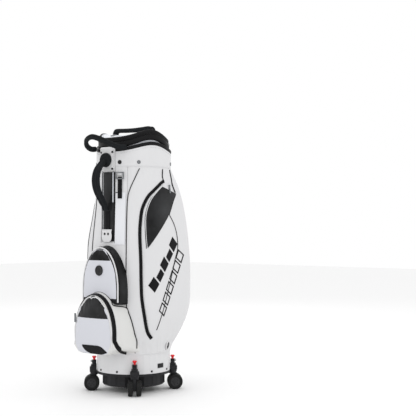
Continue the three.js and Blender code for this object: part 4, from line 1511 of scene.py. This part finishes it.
lid_points = []
RINGS, SPOKES = 16, 96
for below in (0.0, 3.6):
    for r in range(RINGS + 1):
        reach = max(0.5, LID_EDGE * r / RINGS)
        for k in range(SPOKES):
            a = 2 * math.pi * k / SPOKES
            x, y = reach * math.sin(a), -reach * math.cos(a)
            wave = noise.noise(Vector((x / 38, y / 38, 3))) * 0.8 * (below == 0)
            lid_points.append(spot(x, y, lid_height(x, y, below) + wave))
side_size = (RINGS + 1) * SPOKES
top_faces = grid_faces(RINGS + 1, SPOKES, closed_columns=True)
lid_faces = top_faces + [tuple(side_size + i for i in reversed(face)) for face in top_faces]
last_ring = RINGS * SPOKES
for k in range(SPOKES):
    nxt = (k + 1) % SPOKES
    lid_faces.append((last_ring + k, side_size + last_ring + k, side_size + last_ring + nxt, last_ring + nxt))
lid_faces += [tuple(range(SPOKES)), tuple(side_size + k for k in range(SPOKES))]
lid_top = add_piece("lid_leather", lid_points, lid_faces, SHELL, "white_shell", "lid", replaces=("lid_dome",))


def lid_skin(angle, reach, proud=0.0):
    a = math.radians(angle)
    x, y = reach * math.sin(a), -reach * math.cos(a)
    return spot(x, y, lid_height(x, y) + proud)


def lid_up(angle, reach):
    return Vector((0, 0, 1))


stitches("lid_edge_stitching", [(a, 106) for a in range(-180, 181, 10)], THREAD_BLACK, surface=lid_skin,
         normal=lid_up,
         body="lid", steps=6, proud=0.5)
ribbon("lid_edge_welt", [(a, 112.4) for a in range(-180, 181, 10)], oval(4.6, 3.4, 8), BLACK, "black_leather",
       surface=lid_skin, normal=lid_up, body="lid", steps=6)
oval_badge = [(9, -1), (9, 0.8), (7.6, 2), (5, 2.3), (0.1, 2.4)]
badge_place = lid_skin(-30, 74, 0.6)
add_piece("lid_badge", *turned_mesh(oval_badge, badge_place, Vector((0, 0, 1)), 28), METAL, "dark_metal",
          "lid")

# %% lid handle
half = [(88, 871), (88, 880), (84, 889.5), (74, 893.4), (40, 892)]
bar = half + [(0, 891)] + [(-x, z) for x, z in reversed(half)]
bar_path = [spot(x, 0, z) for x, z in smooth_curve(bar, 8)]
points, faces = bar_mesh(bar_path, oval(20, 13, 20, 3), side=lambda i: Vector((0, 1, 0)))
add_piece("lid_handle_grip", points, faces, PAD_CLOTH, "black_webbing", "lid",
                    replaces=("lid_handle",))
for name, away in (("front", -8), ("back", 8)):
    seam_path = [p + Vector((0, away * MM, 0)) for p in bar_path]
    points, faces = bar_mesh(seam_path, oval(2.2, 13.6, 8), side=lambda i: Vector((0, 1, 0)))
    add_piece(f"lid_handle_edge_{name}", points, faces, BLACK, "black_webbing", "lid")

# %% hinge tab, across the hood and the lid
tab_outer, tab_inner = [], []
for r in range(15):
    z = SKIRT_LOW - 15 + 30 * r / 14
    outer_row, inner_row = [], []
    for c in range(17):
        a = math.radians(180 - 15 + 30 * c / 16)
        reach = 122.5 - 1.4 * max(0, (z - SKIRT_LOW) / 15)
        outer_row.append(spot((reach + 1.3) * math.sin(a), -(reach + 1.3) * math.cos(a), z))
        inner_row.append(spot((reach - 0.2) * math.sin(a), -(reach - 0.2) * math.cos(a), z))
    tab_outer.append(outer_row)
    tab_inner.append(inner_row)
hinge_tab = add_piece("lid_hinge_tab", *shell_mesh(tab_outer, tab_inner), WHITE, "white_leather", None)
tab_rows_z = [SKIRT_LOW - 10, SKIRT_LOW - 3, SKIRT_LOW + 9]
for i, z in enumerate(tab_rows_z):
    stitches(f"hinge_stitching_{i}", [(168, z), (180, z), (192, z)], THREAD_BLACK, "white_leather",
             surface=cylinder_skin(123.2),
             normal=radial, body="lid" if i == 2 else "hood")
spot(0, 122, SKIRT_LOW - 6)
spot(0, 122, SKIRT_LOW + 6)
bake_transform(hinge_tab)

# %% seam on the hood tube
seam_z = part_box("hood_tube")[0][2] / MM
ribbon("hood_back_seam", [(180, seam_z + 30), (180, 600), (180, TRIM_LOW - 2)], flat_section(9, 0.9),
       SHELL, "white_shell",
       surface=cylinder_skin(115), normal=radial, body="hood")
print("hood and lid done")

# %% [markdown]
# ## Casters, zip pulls and tray ribs
# Every caster is a stepped housing with a red release button, a fork and twin wheels. The
# imported parts already have that shape, so the loops here add hub caps, bolts and
# collars, each riding on the body it belongs to.

# %% caster details
for number in NUMBERS:
    for letter in "ab":
        node = f"caster_wheel_{number}{letter}"
        finish_nodes(TYRE, node)
        low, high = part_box(node)
        middle = (Vector(low) + Vector(high)) / 2
        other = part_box(f"caster_wheel_{number}{'b' if letter == 'a' else 'a'}")
        away = (middle - (Vector(other[0]) + Vector(other[1])) / 2).normalized()
        hub = [(15.5, 8.0), (15.5, 8.9), (13.6, 9.5), (12, 8.9), (6.5, 8.9), (5.6, 10.2), (0.1, 10.4)]
        add_piece(f"wheel_hub_{number}{letter}", *turned_mesh(hub, middle, away, 28), HUB, "tyre",
                  f"wheel_{number}{letter}")
        side = away.cross(Vector((0, 0, 1))).normalized()
        for spoke in range(5):
            a = 2 * math.pi * spoke / 5
            place = middle + away * 8.8 * MM + (side * math.cos(a) + Vector((0, 0,
                                                                             1)) * math.sin(a)) * 9.4 * MM
            dot = [(1.5, -0.4), (1.5, 0.5), (0.1, 0.7)]
            add_piece(f"hub_dot_{number}{letter}_{spoke}", *turned_mesh(dot, place, away, 10),
                      GLOSS_PLASTIC, "tyre",
                      f"wheel_{number}{letter}")
    low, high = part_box(f"caster_housing_{number}")
    middle = (Vector(low) + Vector(high)) / 2
    for step, (radius, z) in enumerate(((9.6, high[2] / MM - 2.6), (9.2, high[2] / MM - 7))):
        ring = [(radius - 2, -1), (radius, -0.6), (radius, 0.6), (radius - 2, 1)]
        place = Vector((middle.x, middle.y, z * MM))
        add_piece(f"housing_ring_{number}_{step}", *turned_mesh(ring, place, Vector((0, 0, 1)), 24),
                  GLOSS_PLASTIC, "black_plastic")

# %% zip pulls
for node in ("side_zip_pull_right", "side_zip_pull_left", "back_zip_pull_right", "back_zip_pull_left",
             "ball_zip_pull"):
    finish_nodes(METAL, node)

# %% tray ribs
for i in range(16):
    a = math.radians(i * 22.5 + 11)
    near_caster = abs(abs(math.sin(a)) - abs(math.cos(a))) <= 0.35
    if not near_caster:
        path = [spot(110.4 * math.sin(a), -110.4 * math.cos(a), z) for z in (28, 42, 56)]
        points, faces = bar_mesh(path, oval(2.4, 2.0, 8),
                                 side=lambda k, a=a: Vector((math.cos(a), math.sin(a), 0)))
        add_piece(f"tray_rib_{i}", points, faces, PLASTIC, "black_plastic")
print("casters and small parts done")
